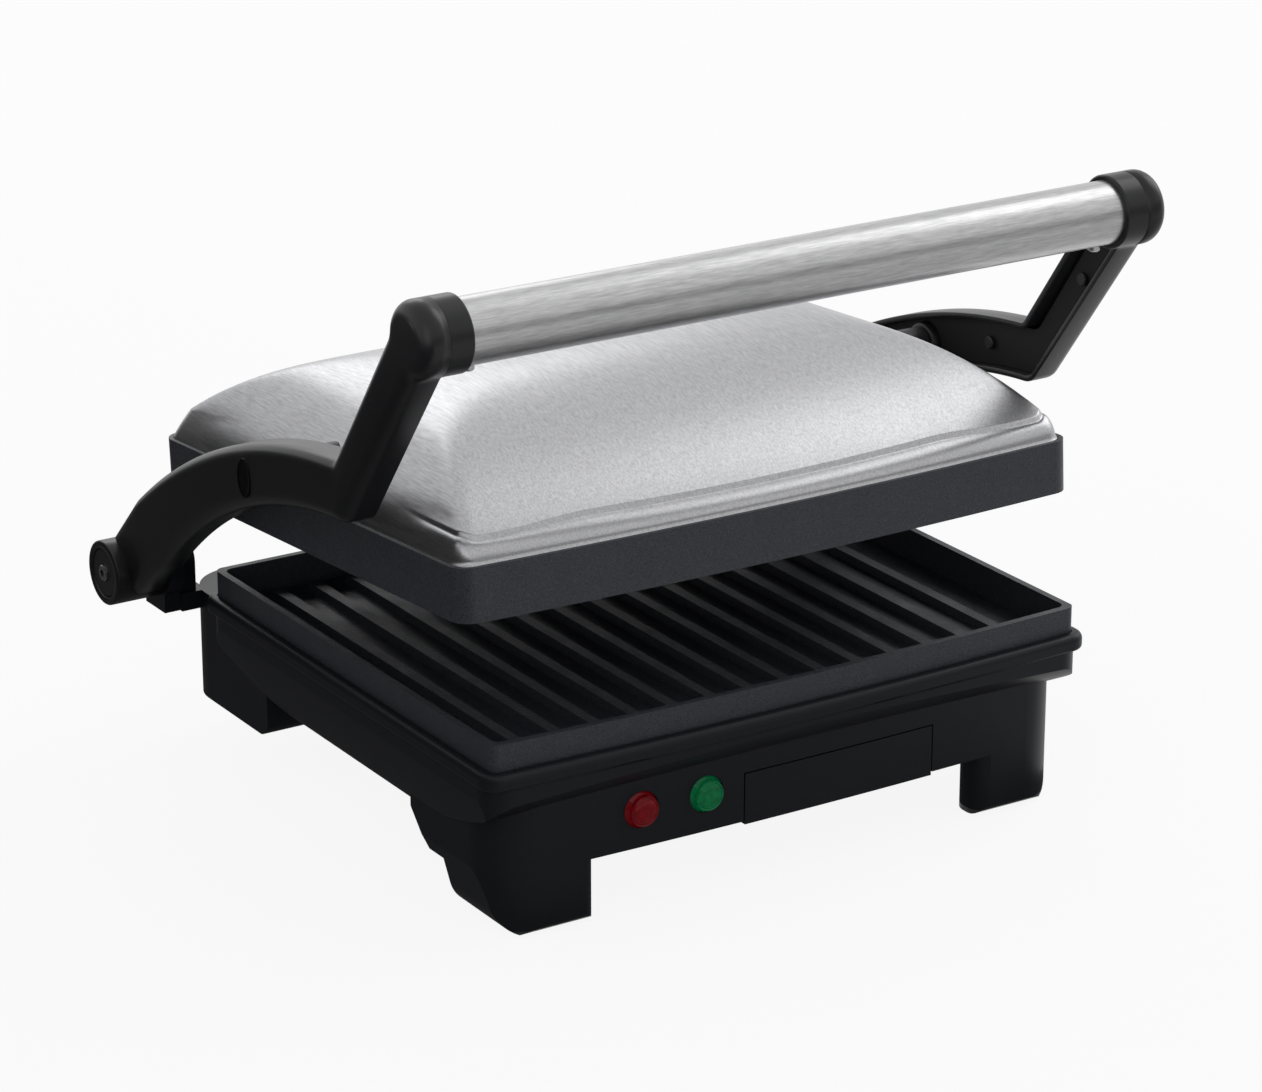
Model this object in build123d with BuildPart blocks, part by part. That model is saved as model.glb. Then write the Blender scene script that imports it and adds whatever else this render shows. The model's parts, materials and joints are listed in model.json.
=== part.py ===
from build123d import *

# Two-portion panini press, in millimetres.
# Frame: +X to the right, +Y to the back, +Z up. The origin lies on the table, under the middle
# of the press's overall width and depth. The press stands with its lid open: the lid floats on
# two arms, its front edge a little raised. Flat open, the handle is the lid's rear foot.
import os
from math import acos, atan2, cos, hypot, radians, sin, sqrt

# ---------------------------------------------------------------- driving dimensions
# Lower grill plate
plate_width = 280.0
plate_depth = 230.0
front_bow = 3.7          # how far every front edge bows out at mid width
plate_corner = 4.0
plate_wall = 3.0
rim_height = 85.0        # plate rim above the table
valley_drop = 14.0       # rim down to the valleys between the ribs
plate_floor = 4.0        # casting thickness under the valleys
seat_ledge = 4.0         # how far the plate's foot steps in from its wall
seat_drop = 15.0         # rim down to the ledge that rests on the housing
rib_height = 3.5
rib_pitch = 17.8
rib_count = 14
rib_top = 5.0
rib_base = 7.4
rib_back_gap = 8.0
rib_front_gap = 14.0
drain_length = 46.0
drain_width = 6.0
spout_drop = 17.0
spout_wall = 1.6
post_radius = 4.5

# Base housing
wall = 2.5
bead_width = 4.6         # bead around the plate, outside its wall
bead_drop = 11.0         # rim down to the bead's top
bead_height = 7.0
bead_round = 3.0
bead_under_round = 1.5
bowl_overhang = 2.5      # bowl side beyond the plate's wall
bowl_corner = 12.0
bowl_bottom = 36.5       # lowest line of the bowl's sides above the table
bowl_lean = 6.0          # how far a side leans in from top to bottom
bowl_edge = 5.0          # rounding along the lower edges
bowl_knee = 10.0         # where the bottom line turns up, inside the bowl's end
bowl_knee_rise = 15.0    # bottom line's rise up to there
bowl_rise_length = 67.0  # length over which each end of its bottom line rises
side_step = 2.0          # body's side wall inside the plate's side
rear_overhang = 35.0     # rear wall behind the plate's rear wall
body_front_step = 1.5    # front wall behind the plate's front wall
body_corner = 22.0
leg_overhang = 18.0      # leg's side outside the body's core
core_bottom = 28.0
leg_width = 45.5
leg_length = 66.5        # front leg's block, front to back
block_bottom = 21.5
foot_length = 39.5
foot_gap = 0.8           # leg bottom above the table, filled by the rubber foot
leg_toe = 7.0
spare = 1.0              # how far a form runs past the outline that trims it
leg_outer_round = 13.0
leg_inner_round = 6.0
foot_side = 14.0         # straight inner side of a foot behind its front face
foot_slant = 35.0        # length over which the foot then narrows to the body's core
foot_round = 9.0         # rounding of a foot's upright edges
rear_block_length = 76.0
rear_block_width = 40.0
rear_block_round = 7.0
rear_post_radius = 10.0
foot_radius = 7.0
foot_recess = 1.2
foot_stem = 3.0
foot_stem_length = 5.0

# Drip tray and its notch in the front wall
drip_x = 20.9
drip_width = 92.0
drip_top = 48.4
drip_bottom = 26.6
drip_gap = 0.6
drip_panel = 3.0
drip_wall = 2.0
drip_depth = 92.0
pan_top = 45.0
pan_margin = 3.0
guide_width = 1.6
guide_height = 9.0
guide_step = 7.5         # guides begin behind the front wall
guide_length = 84.0

# Indicator lights
light_shares = (0.285, 0.73)   # where they stand between the left leg and the drip tray
light_height = 44.0
lens_radius = 7.6
lens_rim = 1.2
lens_dome = 6.0
lens_dome_rise = 2.2
light_seat = 0.5         # depth of the flat seat sunk in the bowed wall
barrel_radius = 6.2
barrel_length = 10.0
lamp_radius = 3.4
lamp_length = 16.0

# Hinge between base and arms
hinge_overhang = 27.5    # hinge axis behind the plate's rear wall
hinge_drop = 2.7         # below the rim
boss_radius = 14.0
boss_stand = 6.0         # arm's boss stands out beyond its side
disc_radius = 15.0
post_gap = 3.0           # hinge disc to the arm's inner face
post_thick = 7.2
neck_radius = 9.0
neck_step = 1.5          # neck begins this far outside the body's side
pin_radius = 4.0
pin_step = 1.5
pin_skin = 2.8           # arm's outer skin over the hinge pin's end
pivot_pin_reach = 17.5   # pivot pin inside the arm's inner face
pivot_pin_skin = 3.3
bush_radius = 6.5
running_gap = 0.05
part_gap = 0.3
cap_radius = 10.6
cap_thick = 2.4
cap_depth = 3.0
cap_screw_head = 3.6
cap_screw_height = 2.6
cap_floor = 0.8
hex_radius = 1.7
hex_depth = 1.8
pin_chamfer = 0.6
bore_gap = 0.3           # free end of each blind bore

# Arms and handle
arm_gap = 11.9           # lid's side to the arm's inner face
arm_thick = 15.0
arm_wall = 2.6
arm_edge = 6.0           # rounding of an arm's outer edges
arm_top_arc = (-77.9, -226.6, 330.2)      # centre behind the plate's, centre above rim, radius
arm_bottom_arc = (-71.5, -185.7, 263.9)
arm_top_back = 124.0     # where the curves end and straight flanks run to the boss
arm_bottom_back = 107.4
elbow_inner = -54.5
elbow_outer = -60.8
elbow_inner_round = 4.0
elbow_outer_round = 10.0
upright_back_step = 12.0 # flanks of the upright behind and ahead of the tube's centre
upright_front_step = 15.0
neck_round = 8.0
handle_step = 4.5        # tube centre behind the plate's front wall
handle_rise = 165.8      # tube centre above the rim
handle_radius = 13.0
tube_wall = 1.2
tube_seat = 5.0          # how deep the tube sits in its ferrules
ferrule_radius = 15.2
ferrule_reach = 6.5      # ferrule's inner end from the arm's inner face
ferrule_depth = 3.9      # how deep the ferrule sits in the arm
ferrule_peg = 6.0
peg_length = 6.0
spigot_length = 24.0
handle_screw_step = 5.0  # screw from the ferrule's inner end
handle_screw_length = 8.0
handle_screw_head = 2.6
arm_cover_depth = 5.8    # cover's hidden face from the arm's inner face
arm_cover_thick = 1.8
arm_hub = 9.0
arm_recess = (5.45, 8.1)
arm_recess_depth = 1.0
arm_posts = ((75.0, 50.0), (-25.0, 86.7), (-86.0, 130.0))   # behind centre, above rim
arm_post_radius = 3.4
arm_screw_radius = 1.5

# Lid
lid_tilt = 3.92          # degrees, front raised
pivot_back = 20.3
pivot_rise = 74.8
lid_overhang = 5.6       # lid beyond the lower plate at each side
lid_end_overhang = 10.2
lid_bow = 5.0
lid_corner = 9.0
band_height = 22.0
band_wall = 2.6
band_top_wall = 3.6
band_below_pivot = 36.85
band_behind_pivot = 4.57
field_side_gap = 12.6    # cooking field inside the band
field_front_gap = 13.2
field_back_gap = 22.7
field_corner = 6.0
rib_end_gap = 5.0
channel_depth = 15.0     # room for the lower plate's wall when the lid is shut
web = 3.0
rib_tip = 2.2            # rib tips above the band's lower edge
heater_floor = 9.0
pocket_wall = 3.0
dome_inset = 2.0         # steel cover's foot inside the band's face
dome_sheet = 1.0
dome_rise = 46.5
dome_foot = 2.0          # upright part of the cover's sides above the band
dome_flank = (18.6, 26.0)      # inward from the band's side, up from its top
dome_shoulder = (53.6, 43.5)
dome_end_rise = 7.5
rebate = 1.6
stub_radius = 7.5
bracket_step = 4.6       # bracket's foot inside the band's face
bracket_foot_width = 16.0
bracket_thick = 3.0
bracket_length = 28.0
stud_radius = 3.5
stud_x = 70.0
stud_front_step = 7.2
stud_back_step = 12.2
stud_bore = 9.0

# Heating elements and fixings
element_radius = 3.3
element_side_gap = 52.0  # rod's long sides inside the plate's sides
element_end_gap = 53.0
element_end_x = 24.0
element_bend = 10.0
element_tail = 24.0
element_gap = 0.2
clip_width = 8.0
clip_side = 2.0
clip_strap = 0.9
reflector_sheet = 1.0
reflector_drop = 16.0    # under the lower plate's floor
reflector_side_gap = 40.0
reflector_end_gap = 20.0
reflector_corner = 8.0
reflector_lip = 6.0
upper_reflector_gap = 13.0
upper_reflector_end_gap = 9.25
thermostat_radius = 8.0
thermostat_height = 6.0
thermostat_tag = (18.0, 6.0, 2.0)
fuse_size = (18.0, 7.0, 5.5)
terminal_size = (34.0, 14.0, 13.0)
terminal_pitch = 10.0
terminal_bore = (2.4, 6.0)
terminal_step = 38.0     # ahead of the rear wall
small_round = 1.5
screw_radius = 2.0
screw_head = 3.8
screw_head_height = 2.2
lid_screw_length = 6.0
cover_thick = 2.5
boss_wall = 5.0
boss_top = 60.0
cover_fixing_length = 22.0
gland_x = -60.0
gland_height = 44.0
gland_flange = 8.0
gland_neck = 5.5
gland_flange_thick = 3.0
gland_nut_thick = 4.0
gland_round = 1.2
cord_hole_radius = 3.6

# ---------------------------------------------------------------- derived places
hinge_back = plate_depth / 2 + hinge_overhang
handle_forward = plate_depth / 2 - handle_step
body_half = plate_width / 2 - side_step
body_rear = plate_depth / 2 + rear_overhang
core_half = body_half - leg_overhang
lid_width = plate_width + 2 * lid_overhang
lid_depth = plate_depth + 2 * lid_end_overhang
arm_inner = lid_width / 2 + arm_gap
arm_outer = arm_inner + arm_thick
boss_end = arm_outer + boss_stand
arm_cover_back = arm_inner + arm_cover_depth
post_outer = arm_inner - post_gap
post_inner = post_outer - post_thick
neck_start = body_half + neck_step
pin_start = neck_start + pin_step
pin_end = arm_outer - pin_skin
pivot_pin_start = arm_inner - pivot_pin_reach
pivot_pin_end = arm_outer - pivot_pin_skin
ferrule_inner = arm_inner - ferrule_reach
ferrule_outer = arm_inner + ferrule_depth
handle_screw_x = ferrule_inner - handle_screw_step
upright_back = upright_back_step - handle_forward
upright_front = -handle_forward - upright_front_step
stub_end = arm_inner - part_gap
bracket_foot = lid_width / 2 - bracket_step
bracket_face = bracket_foot - bracket_foot_width
element_half_x = plate_width / 2 - element_side_gap
element_half_y = plate_depth / 2 - element_end_gap
front_reach = handle_forward + ferrule_radius
rear_reach = hinge_back + disc_radius
tray_y = (front_reach - rear_reach) / 2
valley_z = rim_height - valley_drop
floor_z = valley_z - plate_floor
seat_z = rim_height - seat_drop
bead_top = rim_height - bead_drop
bead_bottom = bead_top - bead_height
deck_z = seat_z
hinge_y = tray_y + hinge_back
hinge_z = rim_height - hinge_drop
handle_y = tray_y - handle_forward
handle_z = rim_height + handle_rise
pivot_y = tray_y + pivot_back
pivot_z = rim_height + pivot_rise
body_front = plate_depth / 2 - body_front_step
leg_inner = body_half - leg_width
leg_back = body_front - leg_length
foot_back = body_front - foot_length
rear_block_front = body_rear - rear_block_length
bowl_flat = plate_depth / 2 - bowl_rise_length


def four_places(x, front, rear):
    """Four places, mirrored from side to side."""
    return [(x, -front), (-x, -front), (x, rear), (-x, rear)]


tray_edge = drip_x - drip_width / 2
light_x = [share * (leg_inner + tray_edge) - leg_inner for share in light_shares]
post_x = leg_inner - 12.5
post_y = plate_depth / 2 - 39.0
screw_posts = four_places(post_x, post_y, post_y)
cover_fixings = four_places(leg_inner - 7.5, body_front - 4.7, body_rear - 6.5)
front_feet = (body_half - 23.0, body_front - 19.5)
rear_feet = (core_half - 44.0, body_rear - 32.0)
foot_places = four_places(*front_feet, 0)[:2] + four_places(rear_feet[0], 0, rear_feet[1])[2:]
cover_z = core_bottom + part_gap
cover_top = cover_z + cover_thick
reflector_z = floor_z - reflector_drop
mirror_plane = Plane.YZ

tilt = radians(lid_tilt)
lid_back = Vector(0, cos(tilt), -sin(tilt))
lid_up = Vector(0, sin(tilt), cos(tilt))
lid_origin = (
    Vector(0, pivot_y, pivot_z) + lid_back * band_behind_pivot - lid_up * band_below_pivot
)
lid_floor = Plane(origin=lid_origin, x_dir=(1, 0, 0), z_dir=lid_up)
lid_side = Plane(origin=lid_origin, x_dir=lid_back, z_dir=(1, 0, 0))
lid_front = Plane(origin=lid_origin, x_dir=(1, 0, 0), z_dir=lid_back * -1)


# ---------------------------------------------------------------- shared shapes
def tray_level(height):
    """Horizontal plane at this height, centred on the lower plate."""
    return Plane((0, tray_y, height))


def across(y):
    """Upright plane across the press, facing the front, this far behind the plate's centre."""
    return Plane(origin=(0, tray_y + y, 0), x_dir=(1, 0, 0), z_dir=(0, -1, 0))


def side_view(x):
    """Upright plane along the press, with its origin at the plate's centre on the table."""
    return Plane(origin=(x, tray_y, 0), x_dir=(0, 1, 0), z_dir=(1, 0, 0))


def lid_level(height):
    """Plane parallel to the lid's band, this far above the band's lower edge."""
    return lid_floor.offset(height)


def bowed_outline(width, front, rear, bow, corner):
    """Rectangle from -front to rear whose front edge bows out, with rounded corners."""
    half = width / 2
    with BuildSketch() as outline:
        with BuildLine():
            Polyline((half, -front), (half, rear), (-half, rear), (-half, -front))
            ThreePointArc((-half, -front), (0, -front - bow), (half, -front))
        make_face()
        fillet(outline.vertices(), corner)
    return outline.sketch


def plate_outline(inset, corner):
    """Outline of the lower plate's wall, moved in by this much."""
    half = plate_depth / 2 - inset
    return bowed_outline(plate_width - 2 * inset, half, half, front_bow, corner)


def body_outline(inset):
    """Outline of the lower body around its legs, moved in by this much."""
    return bowed_outline(
        2 * (body_half - inset), body_front - inset, body_rear - inset, front_bow, body_corner - inset
    )


def lid_outline(inset, corner):
    """Outline of the lid's band, moved in by this much."""
    half = lid_depth / 2 - inset
    return bowed_outline(lid_width - 2 * inset, half, half, lid_bow, corner)


def front_face(x):
    """Where the body's bowed front wall stands, this far out from mid width."""
    return -body_front - front_bow * (1 - (x / body_half) ** 2)


def ribs(plane, root, tip, length):
    """Row of straight ribs with sloping flanks, from their roots to their tips."""
    with BuildPart() as row:
        with BuildSketch(plane):
            for place in range(rib_count):
                rib_x = (place - (rib_count - 1) / 2) * rib_pitch
                with BuildLine():
                    Polyline(
                        (rib_x - rib_base / 2, root),
                        (rib_x + rib_base / 2, root),
                        (rib_x + rib_top / 2, tip),
                        (rib_x - rib_top / 2, tip),
                        close=True,
                    )
                make_face()
        extrude(amount=length)
    return row.part


def element_rod(level):
    """Sheathed heating rod: one bent loop whose two ends run out to the back."""
    with BuildPart() as rod:
        with BuildLine(level):
            FilletPolyline(
                (element_end_x, element_half_y + element_tail),
                (element_end_x, element_half_y),
                (element_half_x, element_half_y),
                (element_half_x, -element_half_y),
                (-element_half_x, -element_half_y),
                (-element_half_x, element_half_y),
                (-element_end_x, element_half_y),
                (-element_end_x, element_half_y + element_tail),
                radius=element_bend,
            )
        end = level.from_local_coords(Vector(element_end_x, element_half_y + element_tail, 0))
        with BuildSketch(Plane(origin=end, z_dir=level.y_dir)):
            Circle(element_radius)
        sweep()
    return rod.part


def element_clips(level, rise):
    """Four saddles that hold the rod to its casting; rise is up or down from the level."""
    bottom = element_gap + 2 * element_radius
    with BuildPart() as clips:
        for x, y, along in (
            (-45.0, -element_half_y, 0),
            (45.0, -element_half_y, 0),
            (-element_half_x, 10.0, 90),
            (element_half_x, 10.0, 90),
        ):
            with BuildSketch(level):
                with Locations(Location((x, y, 0), (0, 0, along))):
                    Rectangle(clip_width, 2 * (element_radius + 0.1 + clip_side))
            extrude(amount=rise * (bottom + clip_strap))
            with BuildSketch(level):
                with Locations(Location((x, y, 0), (0, 0, along))):
                    Rectangle(clip_width, 2 * (element_radius + 0.1))
            extrude(amount=rise * bottom, mode=Mode.SUBTRACT)
    return clips.part


def screw(plane, length, head=screw_head, radius=screw_radius):
    """Pan head screw: shank along the plane's normal, head on the plane's other side."""
    with BuildPart() as made:
        with BuildSketch(plane):
            Circle(radius)
        extrude(amount=length)
        with BuildSketch(plane):
            Circle(head)
        extrude(amount=-screw_head_height)
        rims = made.edges().filter_by(GeomType.CIRCLE).group_by(SortBy.RADIUS)[-1]
        far = plane.origin - plane.z_dir * screw_head_height
        chamfer(rims.sort_by_distance(far)[0], 0.5)
    return made.part


def keep(made, name):
    """Label a finished piece and write it to its own STEP file."""
    made.part.label = name
    export_step(made.part, f"parts/{name}.step")


def keep_pair(made, name):
    """Write a left piece and its mirror image on the right."""
    keep(made, f"left_{name}")
    with BuildPart() as other:
        mirror(made.part, about=mirror_plane)
    keep(other, f"right_{name}")


os.makedirs("parts", exist_ok=True)

# ---------------------------------------------------------------- lower grill plate
plate_front = plate_depth / 2 - plate_wall - rib_front_gap
plate_back = plate_depth / 2 - plate_wall - rib_back_gap
drain_y = -plate_depth / 2 + plate_wall + rib_front_gap / 2

with BuildPart() as lower_grill_plate:
    with BuildSketch(tray_level(seat_z)):
        add(plate_outline(0, plate_corner))
    extrude(amount=seat_drop)
    with BuildSketch(tray_level(floor_z)):
        add(plate_outline(seat_ledge, plate_corner))
    extrude(amount=seat_z - floor_z)
    with BuildSketch(tray_level(valley_z)):
        add(plate_outline(plate_wall, plate_corner))
    extrude(amount=valley_drop, mode=Mode.SUBTRACT)
    add(ribs(across(plate_back), valley_z - 1, valley_z + rib_height, plate_front + plate_back))
    # drain spout over the drip tray, and the slot through it
    with BuildSketch(tray_level(floor_z)):
        with Locations((drip_x, drain_y)):
            RectangleRounded(drain_length + 2 * spout_wall, drain_width + 2 * spout_wall, 2.5)
    extrude(amount=-spout_drop)
    with BuildSketch(tray_level(floor_z - spout_drop)):
        with Locations((drip_x, drain_y)):
            RectangleRounded(drain_length, drain_width, 1.5)
    extrude(amount=spout_drop + plate_floor, mode=Mode.SUBTRACT)
    # posts for the long screws that hold plate and reflector
    with BuildSketch(tray_level(floor_z)):
        with Locations(*screw_posts):
            Circle(post_radius)
    extrude(amount=reflector_z - floor_z)
    with BuildSketch(tray_level(reflector_z)):
        with Locations(*screw_posts):
            Circle(screw_radius + running_gap)
    extrude(amount=floor_z - reflector_z, mode=Mode.SUBTRACT)
keep(lower_grill_plate, "lower_grill_plate")


# ---------------------------------------------------------------- base housing
def bowl_form(inset):
    """Boat-shaped upper body: sides lean in, and the bottom line rises to both ends."""
    half = plate_width / 2 + bowl_overhang - inset
    end = plate_depth / 2 + bead_width - 1.0 - inset
    tip = end + front_bow + spare
    low = bowl_bottom + inset
    top = deck_z - inset
    brow = half + 0.3 * spare
    foot = half - bowl_lean
    waist = (half - bowl_lean * 0.2, low + (deck_z - low) / 2)
    with BuildPart() as form:
        with BuildSketch(across(0)):
            with BuildLine():
                Polyline((foot, low), (-foot, low))
                ThreePointArc((-foot, low), (-waist[0], waist[1]), (-brow, rim_height))
                Line((-brow, rim_height), (brow, rim_height))
                ThreePointArc((brow, rim_height), waist, (foot, low))
            outline = make_face()
            fillet(outline.vertices().group_by(Axis.Y)[0], bowl_edge - inset)
        extrude(amount=tip + spare, both=True)
        with BuildSketch(side_view(0)):
            with BuildLine():
                for way in (1, -1):
                    start = (way * (bowl_flat - 5 * spare), low - spare)
                    knee = (way * (end - bowl_knee), low + bowl_knee_rise)
                    middle = (way * (bowl_flat + end - bowl_knee) / 2, low + bowl_knee_rise * 0.36)
                    upturn = (way * (end - 1.5), (knee[1] + bead_bottom) / 2 - 1.5)
                    ThreePointArc(start, middle, knee)
                    ThreePointArc(knee, upturn, (way * tip, bead_bottom))
                    Line((way * tip, bead_bottom), (way * tip, top))
                Line((tip, top), (-tip, top))
                Line((5 * spare - bowl_flat, low - spare), (bowl_flat - 5 * spare, low - spare))
            make_face()
        extrude(amount=plate_width, both=True, mode=Mode.INTERSECT)
        with BuildSketch(tray_level(0)):
            add(bowed_outline(2 * half, end, end, front_bow, bowl_corner))
        extrude(amount=rim_height, mode=Mode.INTERSECT)
    return form.part


def foot_plan(inset):
    """Plan of a left foot: three sides with rounded corners, open to the body's side."""
    front = front_face(leg_inner) - 0.4
    flank = core_half + spare + inset
    side = front + foot_side - 0.35 * inset
    with BuildSketch() as plan:
        with BuildLine():
            Polyline(
                (-body_half - leg_width, front + inset),
                (-leg_inner - inset, front + inset),
                (-leg_inner - inset, side),
                (-flank, side + foot_slant),
                (-flank, 0),
                (-body_half - leg_width, 0),
                close=True,
            )
        outline = make_face()
        fillet(outline.vertices().group_by(Axis.X)[-1], foot_round - inset)
    return plan.sketch


def foot_trim(inset):
    """What a left foot lacks under the body's core, behind and inside its plan."""
    with BuildPart() as form:
        with BuildSketch(tray_level(0)):
            with Locations((-leg_inner, -plate_depth / 2)):
                Rectangle(3 * leg_width, plate_depth)
            add(foot_plan(inset), mode=Mode.SUBTRACT)
        extrude(amount=core_bottom + 0.5 * spare + inset)
    return form.part


def leg_form(inset):
    """Left front leg: a skirt block stepping down to a rounded foot."""
    inner = leg_inner + inset
    outer = body_half - inset
    foot = foot_gap + inset
    top = deck_z - inset
    toe = foot_back + inset
    shin = leg_back + 13 + inset
    knee = block_bottom + inset
    front = front_face(inner - inset) + inset
    with BuildPart() as form:
        with BuildSketch(side_view(-outer - spare)):
            with BuildLine():
                Polyline(
                    (front, top),
                    (front, foot),
                    (-toe, foot),
                    (-toe + 3, knee),
                    (-shin, knee),
                    (-shin + 13, knee + 14),
                    (-shin + 13, top),
                    close=True,
                )
            outline = make_face()
            fillet(outline.vertices().group_by(Axis.Y)[0], leg_toe - inset)
        extrude(amount=leg_width - 2 * inset + spare)
        with BuildSketch(across(0)):
            with BuildLine():
                Polyline(
                    (-outer - spare, top),
                    (-outer - spare, block_bottom + 10),
                    (5 - outer, foot),
                    (-inner, foot),
                    (-inner, top),
                    close=True,
                )
            outline = make_face()
            bottoms = outline.vertices().group_by(Axis.Y)[0].sort_by(Axis.X)
            fillet(bottoms[0], leg_outer_round - inset)
            fillet(bottoms[1], leg_inner_round - inset)
        extrude(amount=2 * plate_depth, both=True, mode=Mode.INTERSECT)
        add(foot_trim(inset), mode=Mode.SUBTRACT)
    return form.part


def rear_block_form(inset):
    """Left rear skirt block, under the hinge."""
    low = block_bottom + inset
    with BuildPart() as form:
        with BuildSketch(side_view(-body_half + inset - spare)):
            with BuildLine():
                Polyline(
                    (rear_block_front + inset, deck_z - inset),
                    (rear_block_front + inset, low),
                    (body_rear - 5 - inset, low),
                    (body_rear + spare - inset, deck_z - inset),
                    close=True,
                )
            outline = make_face()
            fillet(outline.vertices().group_by(Axis.Y)[0], rear_block_round - inset)
        extrude(amount=rear_block_width - 2 * inset + spare)
    return form.part


def body_form(inset):
    """Lower body: core between the legs, front legs and rear blocks inside one outline."""
    with BuildPart() as form:
        with BuildSketch(tray_level(core_bottom)):
            Rectangle(2 * (core_half - inset), 2 * (body_rear + spare))
        extrude(amount=deck_z - core_bottom - inset)
        add(leg_form(inset))
        mirror(leg_form(inset), about=mirror_plane)
        add(rear_block_form(inset))
        mirror(rear_block_form(inset), about=mirror_plane)
        with BuildSketch(tray_level(0)):
            add(body_outline(inset))
        extrude(amount=deck_z, mode=Mode.INTERSECT)
    return form.part


def bead_form():
    """Rounded bead around the plate's opening."""
    with BuildPart() as form:
        with BuildSketch(tray_level(bead_bottom)):
            add(plate_outline(-bead_width, plate_corner + bead_width))
        extrude(amount=bead_height)
        fillet(form.faces().sort_by(Axis.Z)[-1].edges(), bead_round)
        fillet(form.faces().sort_by(Axis.Z)[0].edges(), bead_under_round)
    return form.part


def hinge_post():
    """Left hinge post: a disc on a neck, standing on a short bracket."""
    with BuildPart() as post:
        with BuildSketch(side_view(-neck_start)):
            with Locations((hinge_back, hinge_z)):
                Circle(neck_radius)
            with Locations((hinge_back, (hinge_z + deck_z - 8) / 2)):
                Rectangle(2 * neck_radius, hinge_z - deck_z + 8)
        extrude(amount=neck_start - post_outer)
        with BuildSketch(side_view(-body_half + wall)):
            with Locations((body_rear - neck_radius - 0.5, deck_z - 4)):
                Rectangle(2 * neck_radius, 8)
        extrude(amount=-(post_inner - body_half + wall))
        with BuildSketch(side_view(-post_inner)):
            with Locations((hinge_back, hinge_z)):
                Circle(disc_radius)
        extrude(amount=post_inner - post_outer)
        with BuildSketch(side_view(-neck_start)):
            with Locations((hinge_back, hinge_z)):
                Circle(bush_radius)
        extrude(amount=neck_start - post_outer, mode=Mode.SUBTRACT)
    return post.part


with BuildPart() as base_housing:
    add(bowl_form(0))
    add(body_form(0))
    add(bead_form())
    add(bowl_form(wall), mode=Mode.SUBTRACT)
    add(body_form(wall), mode=Mode.SUBTRACT)
    # opening for the plate, stepped to carry its ledge
    with BuildSketch(tray_level(deck_z - 3 * wall)):
        add(plate_outline(seat_ledge - part_gap, plate_corner))
    extrude(amount=bead_height + 4 * wall, mode=Mode.SUBTRACT)
    with BuildSketch(tray_level(seat_z)):
        add(plate_outline(-part_gap, plate_corner))
    extrude(amount=seat_drop, mode=Mode.SUBTRACT)
    # bosses for the bottom cover's screws
    with BuildSketch(tray_level(cover_top)):
        with Locations(*cover_fixings):
            Circle(boss_wall)
    extrude(amount=boss_top - cover_top)
    with BuildSketch(tray_level(cover_top)):
        with Locations(*cover_fixings):
            Circle(screw_radius + running_gap)
    extrude(amount=boss_top - cover_top - 5, mode=Mode.SUBTRACT)
    add(hinge_post())
    mirror(hinge_post(), about=mirror_plane)
    # notch for the drip tray's front
    with BuildSketch(tray_level(0)):
        with Locations((drip_x, -body_front)):
            Rectangle(drip_width + 2 * drip_gap, 20)
    extrude(amount=drip_top + drip_gap, mode=Mode.SUBTRACT)
    # seats and holes for the two indicator lights
    for x in light_x:
        with BuildSketch(across(front_face(x) + light_seat)):
            with Locations((x, light_height)):
                Circle(lens_radius + 0.2)
        extrude(amount=6, mode=Mode.SUBTRACT)
        with BuildSketch(across(front_face(x) + 8)):
            with Locations((x, light_height)):
                Circle(barrel_radius + running_gap)
        extrude(amount=12, mode=Mode.SUBTRACT)
    # cord gland's hole in the rear wall
    with BuildSketch(across(body_rear + 1)):
        with Locations((gland_x, gland_height)):
            Circle(gland_neck + running_gap)
    extrude(amount=wall + 2, mode=Mode.SUBTRACT)
    # recesses for the front rubber feet
    with BuildSketch(tray_level(foot_gap)):
        with Locations(*foot_places[:2]):
            Circle(foot_radius + running_gap)
    extrude(amount=foot_recess, mode=Mode.SUBTRACT)
    with BuildSketch(tray_level(foot_gap)):
        with Locations(*foot_places[:2]):
            Circle(foot_stem + running_gap)
    extrude(amount=wall + 1, mode=Mode.SUBTRACT)
keep(base_housing, "base_housing")

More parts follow.
